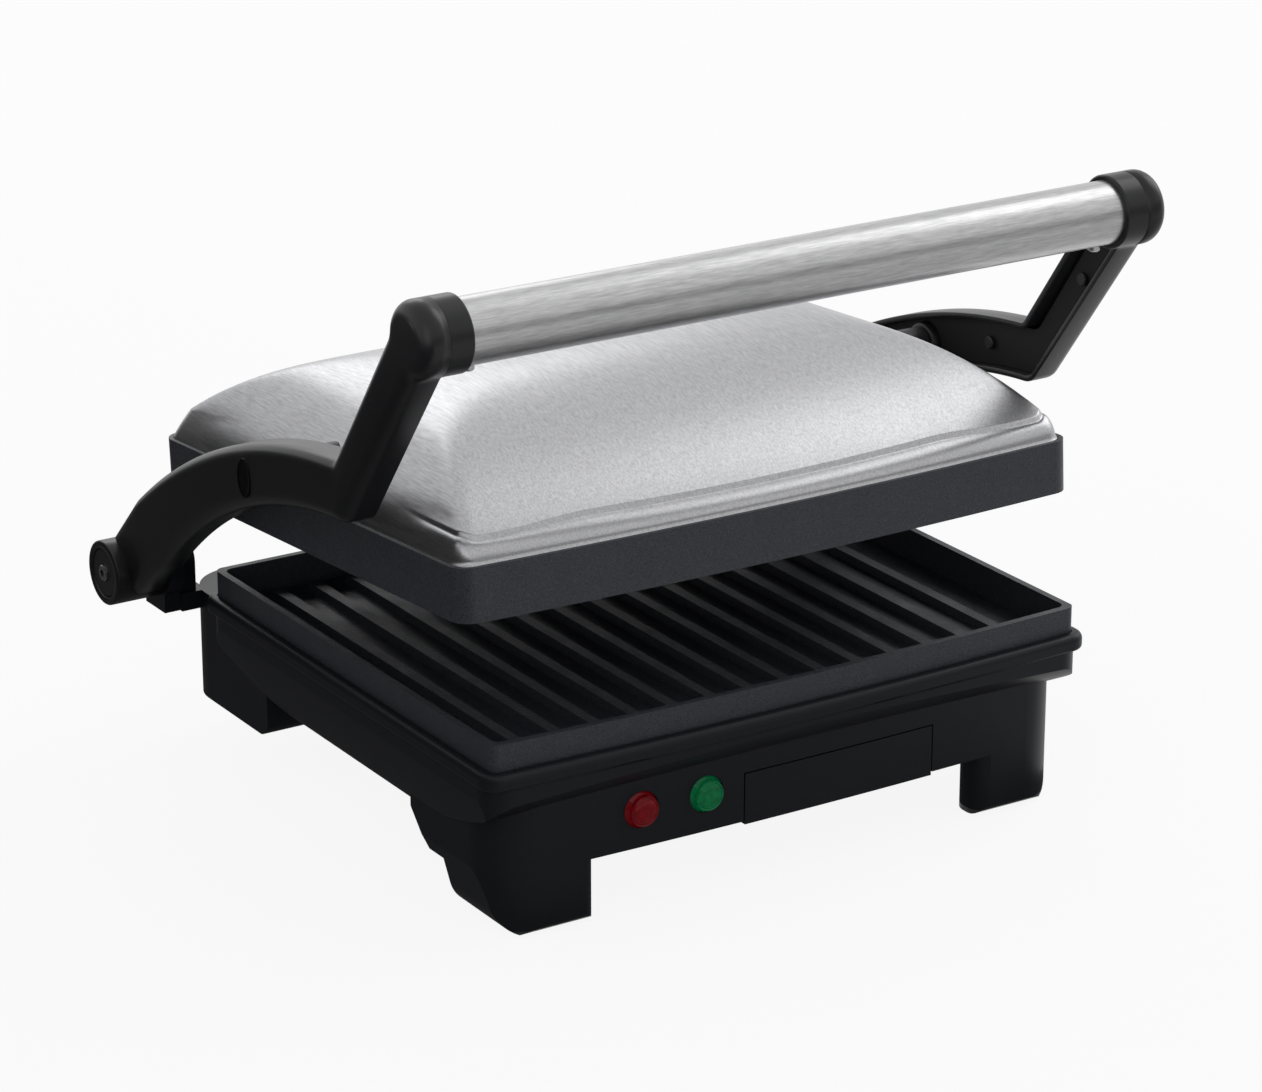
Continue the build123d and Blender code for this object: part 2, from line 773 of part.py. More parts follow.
# ---------------------------------------------------------------- bottom cover and feet
with BuildPart() as bottom_cover:
    with BuildSketch(tray_level(cover_z)):
        inset = wall + part_gap
        add(
            bowed_outline(
                2 * (core_half - inset), body_front - inset, body_rear - inset, front_bow, 1.0
            )
        )
    extrude(amount=cover_thick)
    with BuildSketch(tray_level(cover_z)):
        with Locations((drip_x, -body_front)):
            Rectangle(drip_width + 4 * drip_gap, 2 * (drip_panel + part_gap))
        with Locations(*[(0, 15.0 + 9.0 * row) for row in range(8)]):
            SlotOverall(70, 3.2)
    extrude(amount=cover_thick, mode=Mode.SUBTRACT)
    # pillars under the reflector
    with BuildSketch(tray_level(cover_top)):
        with Locations(*screw_posts):
            Circle(post_radius)
    extrude(amount=reflector_z - reflector_sheet - cover_top)
    # guides and stop for the drip tray
    guide_x = drip_width / 2 - pan_margin + drip_gap + guide_width / 2
    guide_y = guide_step + guide_length / 2 - body_front
    with BuildSketch(tray_level(cover_top)):
        with Locations((drip_x - guide_x, guide_y), (drip_x + guide_x, guide_y)):
            Rectangle(guide_width, guide_length)
        with Locations((drip_x, -body_front + drip_depth + guide_width)):
            Rectangle(40, guide_width)
    extrude(amount=guide_height)
    # rear foot posts
    for x, y in foot_places[2:]:
        with BuildSketch(tray_level(cover_z)):
            with Locations((x, y)):
                Circle(rear_post_radius + 2)
        with BuildSketch(tray_level(foot_gap)):
            with Locations((x, y)):
                Circle(rear_post_radius)
        loft()
    with BuildSketch(tray_level(foot_gap)):
        with Locations(*foot_places[2:]):
            Circle(foot_radius + running_gap)
    extrude(amount=foot_recess, mode=Mode.SUBTRACT)
    with BuildSketch(tray_level(foot_gap)):
        with Locations(*foot_places[2:]):
            Circle(foot_stem + running_gap)
    extrude(amount=foot_stem_length + foot_recess, mode=Mode.SUBTRACT)
    # screw holes
    with BuildSketch(tray_level(cover_z)):
        with Locations(*screw_posts, *cover_fixings):
            Circle(screw_radius + running_gap)
    extrude(amount=reflector_z, mode=Mode.SUBTRACT)
keep(bottom_cover, "bottom_cover")

with BuildPart() as rubber_feet:
    with BuildSketch(tray_level(0)):
        with Locations(*foot_places):
            Circle(foot_radius)
    extrude(amount=foot_gap + foot_recess)
    with BuildSketch(tray_level(foot_gap + foot_recess)):
        with Locations(*foot_places):
            Circle(foot_stem)
    extrude(amount=foot_stem_length)
keep(rubber_feet, "rubber_feet")

with BuildPart() as cover_screws:
    for place in cover_fixings:
        level = Plane(tray_level(cover_z).from_local_coords(Vector(*place, 0)))
        add(screw(level, cover_fixing_length))
keep(cover_screws, "cover_screws")

with BuildPart() as plate_screws:
    for place in screw_posts:
        level = Plane(tray_level(cover_z).from_local_coords(Vector(*place, 0)))
        add(screw(level, floor_z - cover_z - 5))
keep(plate_screws, "plate_screws")

# ---------------------------------------------------------------- inside the base
with BuildPart() as lower_reflector:
    across_size = plate_width - 2 * reflector_side_gap
    along_size = plate_depth - 2 * reflector_end_gap
    with BuildSketch(tray_level(reflector_z - reflector_sheet)):
        RectangleRounded(across_size, along_size, reflector_corner)
    extrude(amount=reflector_sheet + reflector_lip)
    with BuildSketch(tray_level(reflector_z)):
        RectangleRounded(
            across_size - 2 * reflector_sheet,
            along_size - 2 * reflector_sheet,
            reflector_corner - reflector_sheet,
        )
    extrude(amount=reflector_lip, mode=Mode.SUBTRACT)
    with BuildSketch(tray_level(reflector_z - reflector_sheet)):
        with Locations(*screw_posts):
            Circle(screw_radius + running_gap)
    extrude(amount=reflector_sheet, mode=Mode.SUBTRACT)
keep(lower_reflector, "lower_reflector")

with BuildPart() as lower_heating_element:
    add(element_rod(tray_level(floor_z - element_gap - element_radius)))
keep(lower_heating_element, "lower_heating_element")

with BuildPart() as lower_element_clips:
    add(element_clips(tray_level(floor_z), -1))
keep(lower_element_clips, "lower_element_clips")

with BuildPart() as lower_thermostat:
    with BuildSketch(tray_level(floor_z)):
        with Locations((0, -15)):
            Circle(thermostat_radius)
    extrude(amount=-thermostat_height)
    with BuildSketch(tray_level(floor_z - thermostat_height)):
        with Locations((0, -15)):
            Rectangle(thermostat_tag[0], thermostat_tag[1])
    extrude(amount=-thermostat_tag[2])
keep(lower_thermostat, "lower_thermostat")

with BuildPart() as thermal_fuse:
    with BuildSketch(tray_level(floor_z)):
        with Locations((32, 18)):
            RectangleRounded(fuse_size[0], fuse_size[1], small_round)
    extrude(amount=-fuse_size[2])
keep(thermal_fuse, "thermal_fuse")

with BuildPart() as terminal_block:
    block_y = body_rear - terminal_step
    with BuildSketch(tray_level(cover_top)):
        with Locations((gland_x, block_y)):
            RectangleRounded(terminal_size[0], terminal_size[1], small_round)
    extrude(amount=terminal_size[2])
    with BuildSketch(tray_level(cover_top + terminal_size[2])):
        with Locations(*[(gland_x + step * terminal_pitch, block_y) for step in (-1, 0, 1)]):
            Circle(terminal_bore[0])
    extrude(amount=-terminal_bore[1], mode=Mode.SUBTRACT)
keep(terminal_block, "terminal_block")

with BuildPart() as cord_gland:
    with BuildSketch(across(body_rear)):
        with Locations((gland_x, gland_height)):
            Circle(gland_flange)
    extrude(amount=-gland_flange_thick)
    fillet(cord_gland.faces().sort_by(Axis.Y)[-1].edges(), gland_round)
    with BuildSketch(across(body_rear)):
        with Locations((gland_x, gland_height)):
            Circle(gland_neck)
    extrude(amount=wall)
    with BuildSketch(across(body_rear - wall)):
        with Locations((gland_x, gland_height)):
            RegularPolygon(gland_flange, 6)
    extrude(amount=gland_nut_thick)
    with BuildSketch(across(body_rear + gland_flange_thick)):
        with Locations((gland_x, gland_height)):
            Circle(cord_hole_radius)
    extrude(amount=wall + gland_flange_thick + gland_nut_thick, mode=Mode.SUBTRACT)
keep(cord_gland, "cord_gland")

# ---------------------------------------------------------------- indicator lights
for x, name in zip(light_x, ("power_light_lens", "ready_light_lens")):
    seat = front_face(x) + light_seat
    with BuildPart() as lens:
        with BuildSketch(across(seat)):
            with Locations((x, light_height)):
                Circle(lens_radius)
        extrude(amount=light_seat + lens_rim)
        chamfer(lens.faces().sort_by(Axis.Y)[0].edges(), 0.6)
        with BuildSketch(across(seat - light_seat - lens_rim)):
            with Locations((x, light_height)):
                Circle(lens_dome)
        extrude(amount=lens_dome_rise)
        fillet(lens.faces().sort_by(Axis.Y)[0].edges(), lens_dome_rise * 0.9)
        with BuildSketch(across(seat)):
            with Locations((x, light_height)):
                Circle(barrel_radius)
        extrude(amount=-barrel_length)
        with BuildSketch(across(seat + barrel_length)):
            with Locations((x, light_height)):
                Circle(lamp_radius + running_gap)
        extrude(amount=barrel_length, mode=Mode.SUBTRACT)
    keep(lens, name)

with BuildPart() as indicator_lamps:
    for x in light_x:
        with BuildSketch(across(front_face(x) + light_seat)):
            with Locations((x, light_height)):
                Circle(lamp_radius)
        extrude(amount=-lamp_length)
keep(indicator_lamps, "indicator_lamps")

# ---------------------------------------------------------------- drip tray
with BuildPart() as drip_tray:
    with BuildSketch(tray_level(drip_bottom)):
        add(bowed_outline(2 * body_half, body_front, 0, front_bow, 1.0))
        with Locations((0, drip_panel)):
            add(bowed_outline(2 * body_half, body_front, 0, front_bow, 1.0), mode=Mode.SUBTRACT)
        with Locations((drip_x, -body_front)):
            Rectangle(drip_width, 20, mode=Mode.INTERSECT)
    extrude(amount=drip_top - drip_bottom)
    pan_front = body_front + drip_panel / 2
    pan_width = drip_width - 2 * pan_margin
    pan_length = drip_depth + drip_panel / 2
    with BuildSketch(tray_level(cover_top + part_gap)):
        with Locations((drip_x, pan_length / 2 - pan_front)):
            RectangleRounded(pan_width, pan_length, 3)
    extrude(amount=pan_top - cover_top - part_gap)
    with BuildSketch(tray_level(cover_top + part_gap + drip_wall)):
        with Locations((drip_x, pan_length / 2 - pan_front + drip_wall / 2)):
            RectangleRounded(pan_width - 2 * drip_wall, pan_length - 3 * drip_wall, 2)
    extrude(amount=pan_top, mode=Mode.SUBTRACT)
keep(drip_tray, "drip_tray")

# ---------------------------------------------------------------- hinge
with BuildPart() as hinge_bushes:
    for side in (-1, 1):
        with BuildSketch(side_view(side * neck_start)):
            with Locations((hinge_back, hinge_z)):
                Circle(bush_radius)
                Circle(pin_radius + running_gap, mode=Mode.SUBTRACT)
        extrude(amount=side * (post_outer - neck_start))
keep(hinge_bushes, "hinge_bushes")

with BuildPart() as hinge_pin:
    with BuildSketch(side_view(-pin_start)):
        with Locations((hinge_back, hinge_z)):
            Circle(pin_radius)
    extrude(amount=pin_start - pin_end)
    chamfer(hinge_pin.faces().filter_by(Axis.X).edges(), pin_chamfer)
keep_pair(hinge_pin, "hinge_pin")


# ---------------------------------------------------------------- arms
def arc_point(arc, y):
    """Point of an arm's curved flank, this far behind the plate's centre."""
    return (y, rim_height + arc[1] + sqrt(arc[2] ** 2 - (y - arc[0]) ** 2))


def touch(point, centre, radius, side):
    """Where a straight line from this point touches the circle, on the given side."""
    dy = point[0] - centre[0]
    dz = point[1] - centre[1]
    angle = atan2(dz, dy) + side * acos(radius / hypot(dy, dz))
    return (centre[0] + radius * cos(angle), centre[1] + radius * sin(angle))


def arm_outline(inset):
    """Side outline of an arm: a long curved bar, an elbow and a straight upright."""
    hinge = (hinge_back, hinge_z)
    tube = (-handle_forward, handle_z)
    heel = boss_radius - 0.5
    top_back = arc_point(arm_top_arc, arm_top_back)
    low_back = arc_point(arm_bottom_arc, arm_bottom_back)
    inner = arc_point(arm_top_arc, elbow_inner)
    outer = arc_point(arm_bottom_arc, elbow_outer)
    rear = touch(top_back, hinge, heel, -1)
    front = touch(low_back, hinge, heel, 1)
    with BuildSketch() as outline:
        with BuildLine():
            Line(rear, top_back)
            ThreePointArc(top_back, arc_point(arm_top_arc, 40), inner)
            Line(inner, (upright_back, handle_z))
            Line((upright_back, handle_z), (upright_front, handle_z))
            Line((upright_front, handle_z), outer)
            ThreePointArc(outer, arc_point(arm_bottom_arc, 30), low_back)
            Line(low_back, front)
            ThreePointArc(front, (hinge[0] + heel * cos(0.7), hinge[1] - heel * sin(0.7)), rear)
        make_face()
        with Locations(tube):
            Circle(ferrule_radius)
        fillet(outline.vertices().sort_by_distance(inner)[0], elbow_inner_round)
        fillet(outline.vertices().sort_by_distance(outer)[0], elbow_outer_round)
        necks = outline.vertices().filter_by(lambda v: v.Y > handle_z - ferrule_radius)
        fillet(necks, neck_round)
        if inset:
            offset(amount=-inset, mode=Mode.REPLACE)
    return outline.sketch


def across_rods(places, radius, start, end):
    """Round bars across the press at these places, from one X to another."""
    with BuildPart() as rods:
        with BuildSketch(side_view(start)):
            with Locations(*places):
                Circle(radius)
        extrude(amount=end - start)
    return rods.part


hinge_place = (hinge_back, hinge_z)
pivot_place = (pivot_back, pivot_z)
tube_place = (-handle_forward, handle_z)
post_places = [(y, rim_height + z) for y, z in arm_posts]
pocket_x = -arm_outer + arm_wall
peg_end = ferrule_outer + peg_length

with BuildPart() as arm_shell:
    with BuildSketch(side_view(-arm_outer)):
        add(arm_outline(0))
    extrude(amount=arm_outer - arm_inner)
    fillet(arm_shell.faces().sort_by(Axis.X)[0].outer_wire().edges(), arm_edge)
    with BuildSketch(side_view(pocket_x)):
        add(arm_outline(arm_wall))
    extrude(amount=arm_outer - arm_inner, mode=Mode.SUBTRACT)
    add(across_rods([hinge_place], boss_radius, -boss_end, -post_outer - part_gap))
    fillet(arm_shell.faces().sort_by(Axis.X)[0].edges(), 1.0)
    add(across_rods([pivot_place], arm_hub, pocket_x - 0.5, -arm_inner))
    add(across_rods(post_places, arm_post_radius, pocket_x - 0.5, -arm_cover_back))
    add(across_rods([tube_place], ferrule_radius - arm_wall + 0.4, pocket_x - 0.5, -ferrule_outer))
    add(
        across_rods([tube_place], ferrule_radius + part_gap, -ferrule_outer, -ferrule_inner),
        mode=Mode.SUBTRACT,
    )
    # pin bores, cap recess, screw holes and the oval dimple at the lid's pivot
    add(
        across_rods([tube_place], ferrule_peg + running_gap, -peg_end - bore_gap, -ferrule_outer),
        mode=Mode.SUBTRACT,
    )
    add(
        across_rods([hinge_place], pin_radius + running_gap, -pin_end - bore_gap, -post_inner),
        mode=Mode.SUBTRACT,
    )
    add(
        across_rods([pivot_place], pin_radius + running_gap, -pivot_pin_end - bore_gap, -post_inner),
        mode=Mode.SUBTRACT,
    )
    add(
        across_rods([hinge_place], cap_radius + running_gap, -boss_end, cap_depth - boss_end),
        mode=Mode.SUBTRACT,
    )
    add(
        across_rods([hinge_place], screw_radius + running_gap, -boss_end, -pin_end - 1.2),
        mode=Mode.SUBTRACT,
    )
    add(
        across_rods(post_places, arm_screw_radius + running_gap, pocket_x, -arm_cover_back),
        mode=Mode.SUBTRACT,
    )
    with BuildSketch(side_view(-arm_outer)):
        with Locations(pivot_place):
            Ellipse(*arm_recess)
    extrude(amount=arm_recess_depth, mode=Mode.SUBTRACT)
keep_pair(arm_shell, "arm_shell")

with BuildPart() as arm_cover:
    with BuildSketch(side_view(-arm_cover_back)):
        add(arm_outline(arm_wall + part_gap))
    extrude(amount=arm_cover_thick)
    cover_inner = arm_cover_thick - arm_cover_back
    add(
        across_rods([hinge_place], boss_radius + part_gap, -arm_cover_back, cover_inner),
        mode=Mode.SUBTRACT,
    )
    add(
        across_rods([pivot_place], arm_hub + part_gap, -arm_cover_back, cover_inner),
        mode=Mode.SUBTRACT,
    )
    add(
        across_rods([tube_place], ferrule_radius + 0.6, -arm_cover_back, cover_inner),
        mode=Mode.SUBTRACT,
    )
    add(
        across_rods(post_places, arm_screw_radius + running_gap, -arm_cover_back, cover_inner),
        mode=Mode.SUBTRACT,
    )
keep_pair(arm_cover, "arm_cover")

with BuildPart() as arm_cover_screws:
    for y, z in post_places:
        head = Plane(origin=(cover_inner, tray_y + y, z), x_dir=(0, 1, 0), z_dir=(-1, 0, 0))
        add(screw(head, 7.0, 2.8, arm_screw_radius))
    mirror(about=mirror_plane)
keep(arm_cover_screws, "arm_cover_screws")

with BuildPart() as hinge_cap:
    with BuildSketch(side_view(cap_depth - boss_end)):
        with Locations(hinge_place):
            Circle(cap_radius)
    extrude(amount=-cap_thick)
    chamfer(hinge_cap.faces().sort_by(Axis.X)[0].edges(), 0.5)
    with BuildSketch(side_view(cap_depth - boss_end - cap_thick)):
        with Locations(hinge_place):
            Circle(cap_screw_head + 0.2)
    extrude(amount=cap_thick - cap_floor, mode=Mode.SUBTRACT)
    with BuildSketch(side_view(cap_depth - boss_end - cap_thick)):
        with Locations(hinge_place):
            Circle(screw_radius + running_gap)
    extrude(amount=cap_thick, mode=Mode.SUBTRACT)
keep_pair(hinge_cap, "hinge_cap")

with BuildPart() as hinge_cap_screws:
    cap_face = cap_depth - boss_end - cap_floor
    with BuildSketch(side_view(cap_face)):
        with Locations(hinge_place):
            Circle(cap_screw_head)
    extrude(amount=-cap_screw_height)
    chamfer(hinge_cap_screws.faces().sort_by(Axis.X)[0].edges(), 0.5)
    with BuildSketch(side_view(cap_face - cap_screw_height)):
        with Locations(hinge_place):
            RegularPolygon(hex_radius, 6)
    extrude(amount=hex_depth, mode=Mode.SUBTRACT)
    with BuildSketch(side_view(cap_face)):
        with Locations(hinge_place):
            Circle(screw_radius)
    extrude(amount=-pin_end - 1.4 - cap_face)
    mirror(about=mirror_plane)
keep(hinge_cap_screws, "hinge_cap_screws")

# ---------------------------------------------------------------- handle
with BuildPart() as handle_tube:
    tube_half = ferrule_inner + tube_seat
    with BuildSketch(side_view(-tube_half)):
        with Locations(tube_place):
            Circle(handle_radius)
            Circle(handle_radius - tube_wall, mode=Mode.SUBTRACT)
    extrude(amount=2 * tube_half)
    with BuildSketch(Plane((0, handle_y, handle_z))):
        with Locations((-handle_screw_x, 0), (handle_screw_x, 0)):
            Circle(arm_screw_radius + running_gap)
    extrude(amount=-2 * handle_radius, mode=Mode.SUBTRACT)
keep(handle_tube, "handle_tube")

with BuildPart() as ferrule:
    add(across_rods([tube_place], ferrule_radius, -ferrule_outer, -ferrule_inner))
    fillet(ferrule.faces().sort_by(Axis.X)[-1].edges(), 1.0)
    add(
        across_rods([tube_place], handle_radius + running_gap, -tube_half, -ferrule_inner),
        mode=Mode.SUBTRACT,
    )
    add(
        across_rods(
            [tube_place], handle_radius - tube_wall - running_gap, -tube_half, spigot_length - tube_half
        ),
    )
    add(across_rods([tube_place], ferrule_peg, -peg_end, -ferrule_outer))
    with BuildSketch(Plane((-handle_screw_x, handle_y, handle_z))):
        Circle(arm_screw_radius + running_gap)
    extrude(amount=-handle_radius, mode=Mode.SUBTRACT)
keep_pair(ferrule, "ferrule")

with BuildPart() as handle_screws:
    for x in (-handle_screw_x, handle_screw_x):
        head = Plane((x, handle_y, handle_z - handle_radius))
        add(screw(head, handle_screw_length, handle_screw_head, arm_screw_radius))
keep(handle_screws, "handle_screws")

with BuildPart() as pivot_pin:
    add(across_rods([pivot_place], pin_radius, -pivot_pin_end, -pivot_pin_start))
    chamfer(pivot_pin.faces().filter_by(Axis.X).edges(), pin_chamfer)
keep_pair(pivot_pin, "pivot_pin")

# ---------------------------------------------------------------- upper grill plate
field_front = lid_depth / 2 - field_front_gap
field_back = lid_depth / 2 - field_back_gap
field_width = lid_width - 2 * field_side_gap
field_middle = (field_back - field_front) / 2
field_length = field_front + field_back
post_middle = [(x, y + field_middle) for x, y in four_places(field_width / 2 - 33.0, post_y, post_y)]
stud_places = four_places(stud_x, lid_depth / 2 - stud_front_step, lid_depth / 2 - stud_back_step)
web_top = channel_depth + web
reflector_w = web_top - reflector_sheet
pivot_v = -band_behind_pivot
pivot_w = band_below_pivot
foot_screw_x = bracket_foot - 5.0
foot_screw_step = bracket_length / 2 - 3.5
foot_screws = [
    (side * foot_screw_x, pivot_v + way * foot_screw_step) for side in (-1, 1) for way in (-1, 1)
]

with BuildPart() as upper_grill_plate:
    with BuildSketch(lid_level(0)):
        add(lid_outline(0, lid_corner))
    extrude(amount=band_height)
    with BuildSketch(lid_level(0)):
        add(lid_outline(band_wall, lid_corner - band_wall))
    extrude(amount=channel_depth, mode=Mode.SUBTRACT)
    with BuildSketch(lid_level(web_top)):
        add(lid_outline(band_top_wall, lid_corner - band_top_wall))
    extrude(amount=band_height, mode=Mode.SUBTRACT)
    with BuildSketch(lid_level(band_height)):
        add(lid_outline(dome_inset - 0.1, lid_corner - dome_inset))
    extrude(amount=-rebate, mode=Mode.SUBTRACT)
    # cooking field with its ribs, and the heater's pocket above it
    with BuildSketch(lid_level(rib_tip + rib_height)):
        with Locations((0, field_middle)):
            RectangleRounded(field_width, field_length, field_corner)
    extrude(amount=channel_depth - rib_tip - rib_height + 1)
    rib_plane = lid_front.offset(-(field_back - rib_back_gap))
    rib_run = field_length - rib_back_gap - rib_end_gap
    add(ribs(rib_plane, rib_tip + rib_height + 1, rib_tip, rib_run))
    with BuildSketch(lid_level(heater_floor)):
        with Locations((0, field_middle)):
            RectangleRounded(field_width - 2 * pocket_wall, field_length - 2 * pocket_wall, 4)
    extrude(amount=band_height, mode=Mode.SUBTRACT)
    with BuildSketch(lid_level(heater_floor)):
        with Locations(*post_middle):
            Circle(post_radius)
    extrude(amount=reflector_w - heater_floor)
    with BuildSketch(lid_level(reflector_w)):
        with Locations(*post_middle):
            Circle(screw_radius + running_gap)
    extrude(amount=-lid_screw_length - bore_gap, mode=Mode.SUBTRACT)
    with BuildSketch(lid_level(channel_depth)):
        with Locations(*foot_screws, *stud_places):
            Circle(screw_radius + running_gap)
    extrude(amount=web, mode=Mode.SUBTRACT)
keep(upper_grill_plate, "upper_grill_plate")


# ---------------------------------------------------------------- steel lid cover
def dome_form(inset, foot):
    """Domed cover: two arches crossed inside a rounded outline, standing on the given level."""
    half = lid_width / 2 - dome_inset - inset + 0.3 * spare
    end = lid_depth / 2 - dome_inset - inset + spare
    front = end + lid_bow
    top = band_height + dome_rise - inset
    shoulder = (lid_width / 2 - dome_shoulder[0], band_height + dome_shoulder[1] - inset)
    flank = (
        lid_width / 2 - dome_flank[0] - 0.7 * inset,
        band_height + dome_flank[1] - 0.7 * inset,
    )
    side = band_height + dome_foot - 0.6 * spare
    crest = band_height + dome_rise + 1 - inset
    ends = band_height + dome_end_rise - 0.6 * spare
    with BuildPart() as form:
        with BuildSketch(lid_front):
            with BuildLine():
                Polyline((-half, side), (-half, 0), (half, 0), (half, side))
                ThreePointArc((half, side), flank, shoulder)
                ThreePointArc(shoulder, (0, top), (-shoulder[0], shoulder[1]))
                ThreePointArc((-shoulder[0], shoulder[1]), (-flank[0], flank[1]), (-half, side))
            make_face()
        extrude(amount=front + spare, both=True)
        with BuildSketch(lid_side):
            with BuildLine():
                Polyline((end, ends), (end, 0), (-front, 0), (-front, ends))
                ThreePointArc((-front, ends), (0, crest), (end, ends))
            make_face()
        extrude(amount=half + spare, both=True, mode=Mode.INTERSECT)
        with BuildSketch(lid_level(foot)):
            add(lid_outline(dome_inset + inset, lid_corner - dome_inset - inset / 2))
        extrude(amount=2 * band_height + dome_rise, mode=Mode.INTERSECT)
    return form.part


with BuildPart() as lid_cover:
    add(dome_form(0, band_height - rebate))
    add(dome_form(dome_sheet, 0), mode=Mode.SUBTRACT)
    # studs down to the casting, with a screw hole in each
    with BuildPart(mode=Mode.PRIVATE) as studs:
        with BuildSketch(lid_level(web_top)):
            with Locations(*stud_places):
                Circle(stud_radius)
        extrude(amount=band_height + dome_rise)
        with BuildSketch(lid_level(web_top)):
            with Locations(*stud_places):
                Circle(screw_radius + running_gap)
        extrude(amount=stud_bore, mode=Mode.SUBTRACT)
        add(dome_form(dome_sheet / 2, 0), mode=Mode.INTERSECT)
    add(studs.part)
    # holes for the pivot stubs in both flanks
    with BuildSketch(lid_side):
        with Locations((pivot_v, pivot_w)):
            Circle(stub_radius + part_gap)
    extrude(amount=lid_width, both=True, mode=Mode.SUBTRACT)
keep(lid_cover, "lid_cover")

with BuildPart() as upper_reflector:
    with BuildSketch(lid_level(reflector_w)):
        with Locations((0, field_middle)):
            RectangleRounded(
                field_width - 2 * upper_reflector_gap,
                field_length - 2 * upper_reflector_end_gap,
                reflector_corner,
            )
        with Locations(*post_middle):
            Circle(screw_radius + running_gap, mode=Mode.SUBTRACT)
    extrude(amount=reflector_sheet)
keep(upper_reflector, "upper_reflector")

with BuildPart() as upper_heating_element:
    rod_level = lid_level(heater_floor + element_gap + element_radius)
    rod_middle = rod_level.from_local_coords(Vector(0, field_middle, 0))
    add(element_rod(Plane(rod_middle, (1, 0, 0), lid_up)))
keep(upper_heating_element, "upper_heating_element")

with BuildPart() as upper_element_clips:
    clip_origin = lid_level(heater_floor).from_local_coords(Vector(0, field_middle, 0))
    add(element_clips(Plane(clip_origin, (1, 0, 0), lid_up), 1))
keep(upper_element_clips, "upper_element_clips")

with BuildPart() as upper_cutout:
    with BuildSketch(lid_level(heater_floor)):
        with Locations((0, -12)):
            Circle(thermostat_radius)
    extrude(amount=thermostat_height)
keep(upper_cutout, "upper_cutout")

with BuildPart() as pivot_bracket:
    with BuildSketch(lid_level(web_top)):
        with Locations((-(bracket_foot + bracket_face - bracket_thick) / 2, pivot_v)):
            Rectangle(bracket_foot - bracket_face + bracket_thick, bracket_length)
    extrude(amount=bracket_thick)
    with BuildSketch(lid_level(web_top)):
        with Locations((-bracket_face + bracket_thick / 2, pivot_v)):
            Rectangle(bracket_thick, 2 * stub_radius + 2)
    extrude(amount=pivot_w + stub_radius - web_top)
    with BuildSketch(lid_side.offset(-bracket_face + 1)):
        with Locations((pivot_v, pivot_w)):
            Circle(stub_radius)
    extrude(amount=-(stub_end - bracket_face + 1))
    with BuildSketch(lid_side.offset(-stub_end)):
        with Locations((pivot_v, pivot_w)):
            Circle(pin_radius + running_gap)
    extrude(amount=stub_end - pivot_pin_start + 0.5, mode=Mode.SUBTRACT)
    with BuildSketch(lid_level(web_top)):
        with Locations(*foot_screws[:2]):
            Circle(screw_radius + running_gap)
    extrude(amount=bracket_thick, mode=Mode.SUBTRACT)
keep_pair(pivot_bracket, "pivot_bracket")

with BuildPart() as bracket_screws:
    for place in foot_screws:
        head = lid_level(web_top + bracket_thick).from_local_coords(Vector(*place, 0))
        add(screw(Plane(head, (1, 0, 0), lid_up * -1), bracket_thick + web - 0.2))
keep(bracket_screws, "bracket_screws")

with BuildPart() as reflector_screws:
    for place in post_middle:
        head = lid_level(web_top).from_local_coords(Vector(*place, 0))
        add(screw(Plane(head, (1, 0, 0), lid_up * -1), lid_screw_length))
keep(reflector_screws, "reflector_screws")

with BuildPart() as lid_screws:
    for place in stud_places:
        head = lid_level(channel_depth).from_local_coords(Vector(*place, 0))
        add(screw(Plane(head, (1, 0, 0), lid_up), stud_bore + 1.0))
keep(lid_screws, "lid_screws")
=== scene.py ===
"""Looks for the two-plate panini press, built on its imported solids."""

import json
import logging
from abc import ABC, abstractmethod
from dataclasses import dataclass, field
from enum import Enum

import bmesh
import bpy
import numpy as np
from mathutils import Matrix, Vector


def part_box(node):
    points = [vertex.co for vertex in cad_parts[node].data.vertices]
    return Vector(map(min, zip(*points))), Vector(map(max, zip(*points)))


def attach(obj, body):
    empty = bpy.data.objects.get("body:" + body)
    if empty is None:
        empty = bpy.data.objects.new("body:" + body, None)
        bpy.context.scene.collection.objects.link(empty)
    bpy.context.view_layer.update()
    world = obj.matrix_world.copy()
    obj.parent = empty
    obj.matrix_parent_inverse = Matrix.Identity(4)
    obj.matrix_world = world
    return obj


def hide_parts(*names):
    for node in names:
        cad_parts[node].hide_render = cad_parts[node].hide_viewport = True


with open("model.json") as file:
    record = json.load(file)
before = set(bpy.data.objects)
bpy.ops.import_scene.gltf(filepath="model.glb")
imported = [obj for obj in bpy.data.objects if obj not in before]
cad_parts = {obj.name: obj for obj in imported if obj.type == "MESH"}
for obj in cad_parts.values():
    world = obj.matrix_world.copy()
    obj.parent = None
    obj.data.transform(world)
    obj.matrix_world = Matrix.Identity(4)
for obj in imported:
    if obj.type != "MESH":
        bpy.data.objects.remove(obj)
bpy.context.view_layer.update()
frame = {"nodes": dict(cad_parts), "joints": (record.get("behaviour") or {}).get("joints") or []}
MM = 0.001
log = logging.getLogger("panini_press")

Colour = tuple[float, float, float]
Place = tuple[float, float, float]
Pair = tuple[float, float]
WHITE = (1.0, 1.0, 1.0, 1.0)


class Axis(Enum):
    """Direction of a brushed grain."""

    ACROSS = (1.0, 0.0, 0.0)
    ALONG = (0.0, 1.0, 0.0)


class Side(Enum):
    """Left or right half of a mirrored pair, with its sign along X."""

    LEFT = -1
    RIGHT = 1


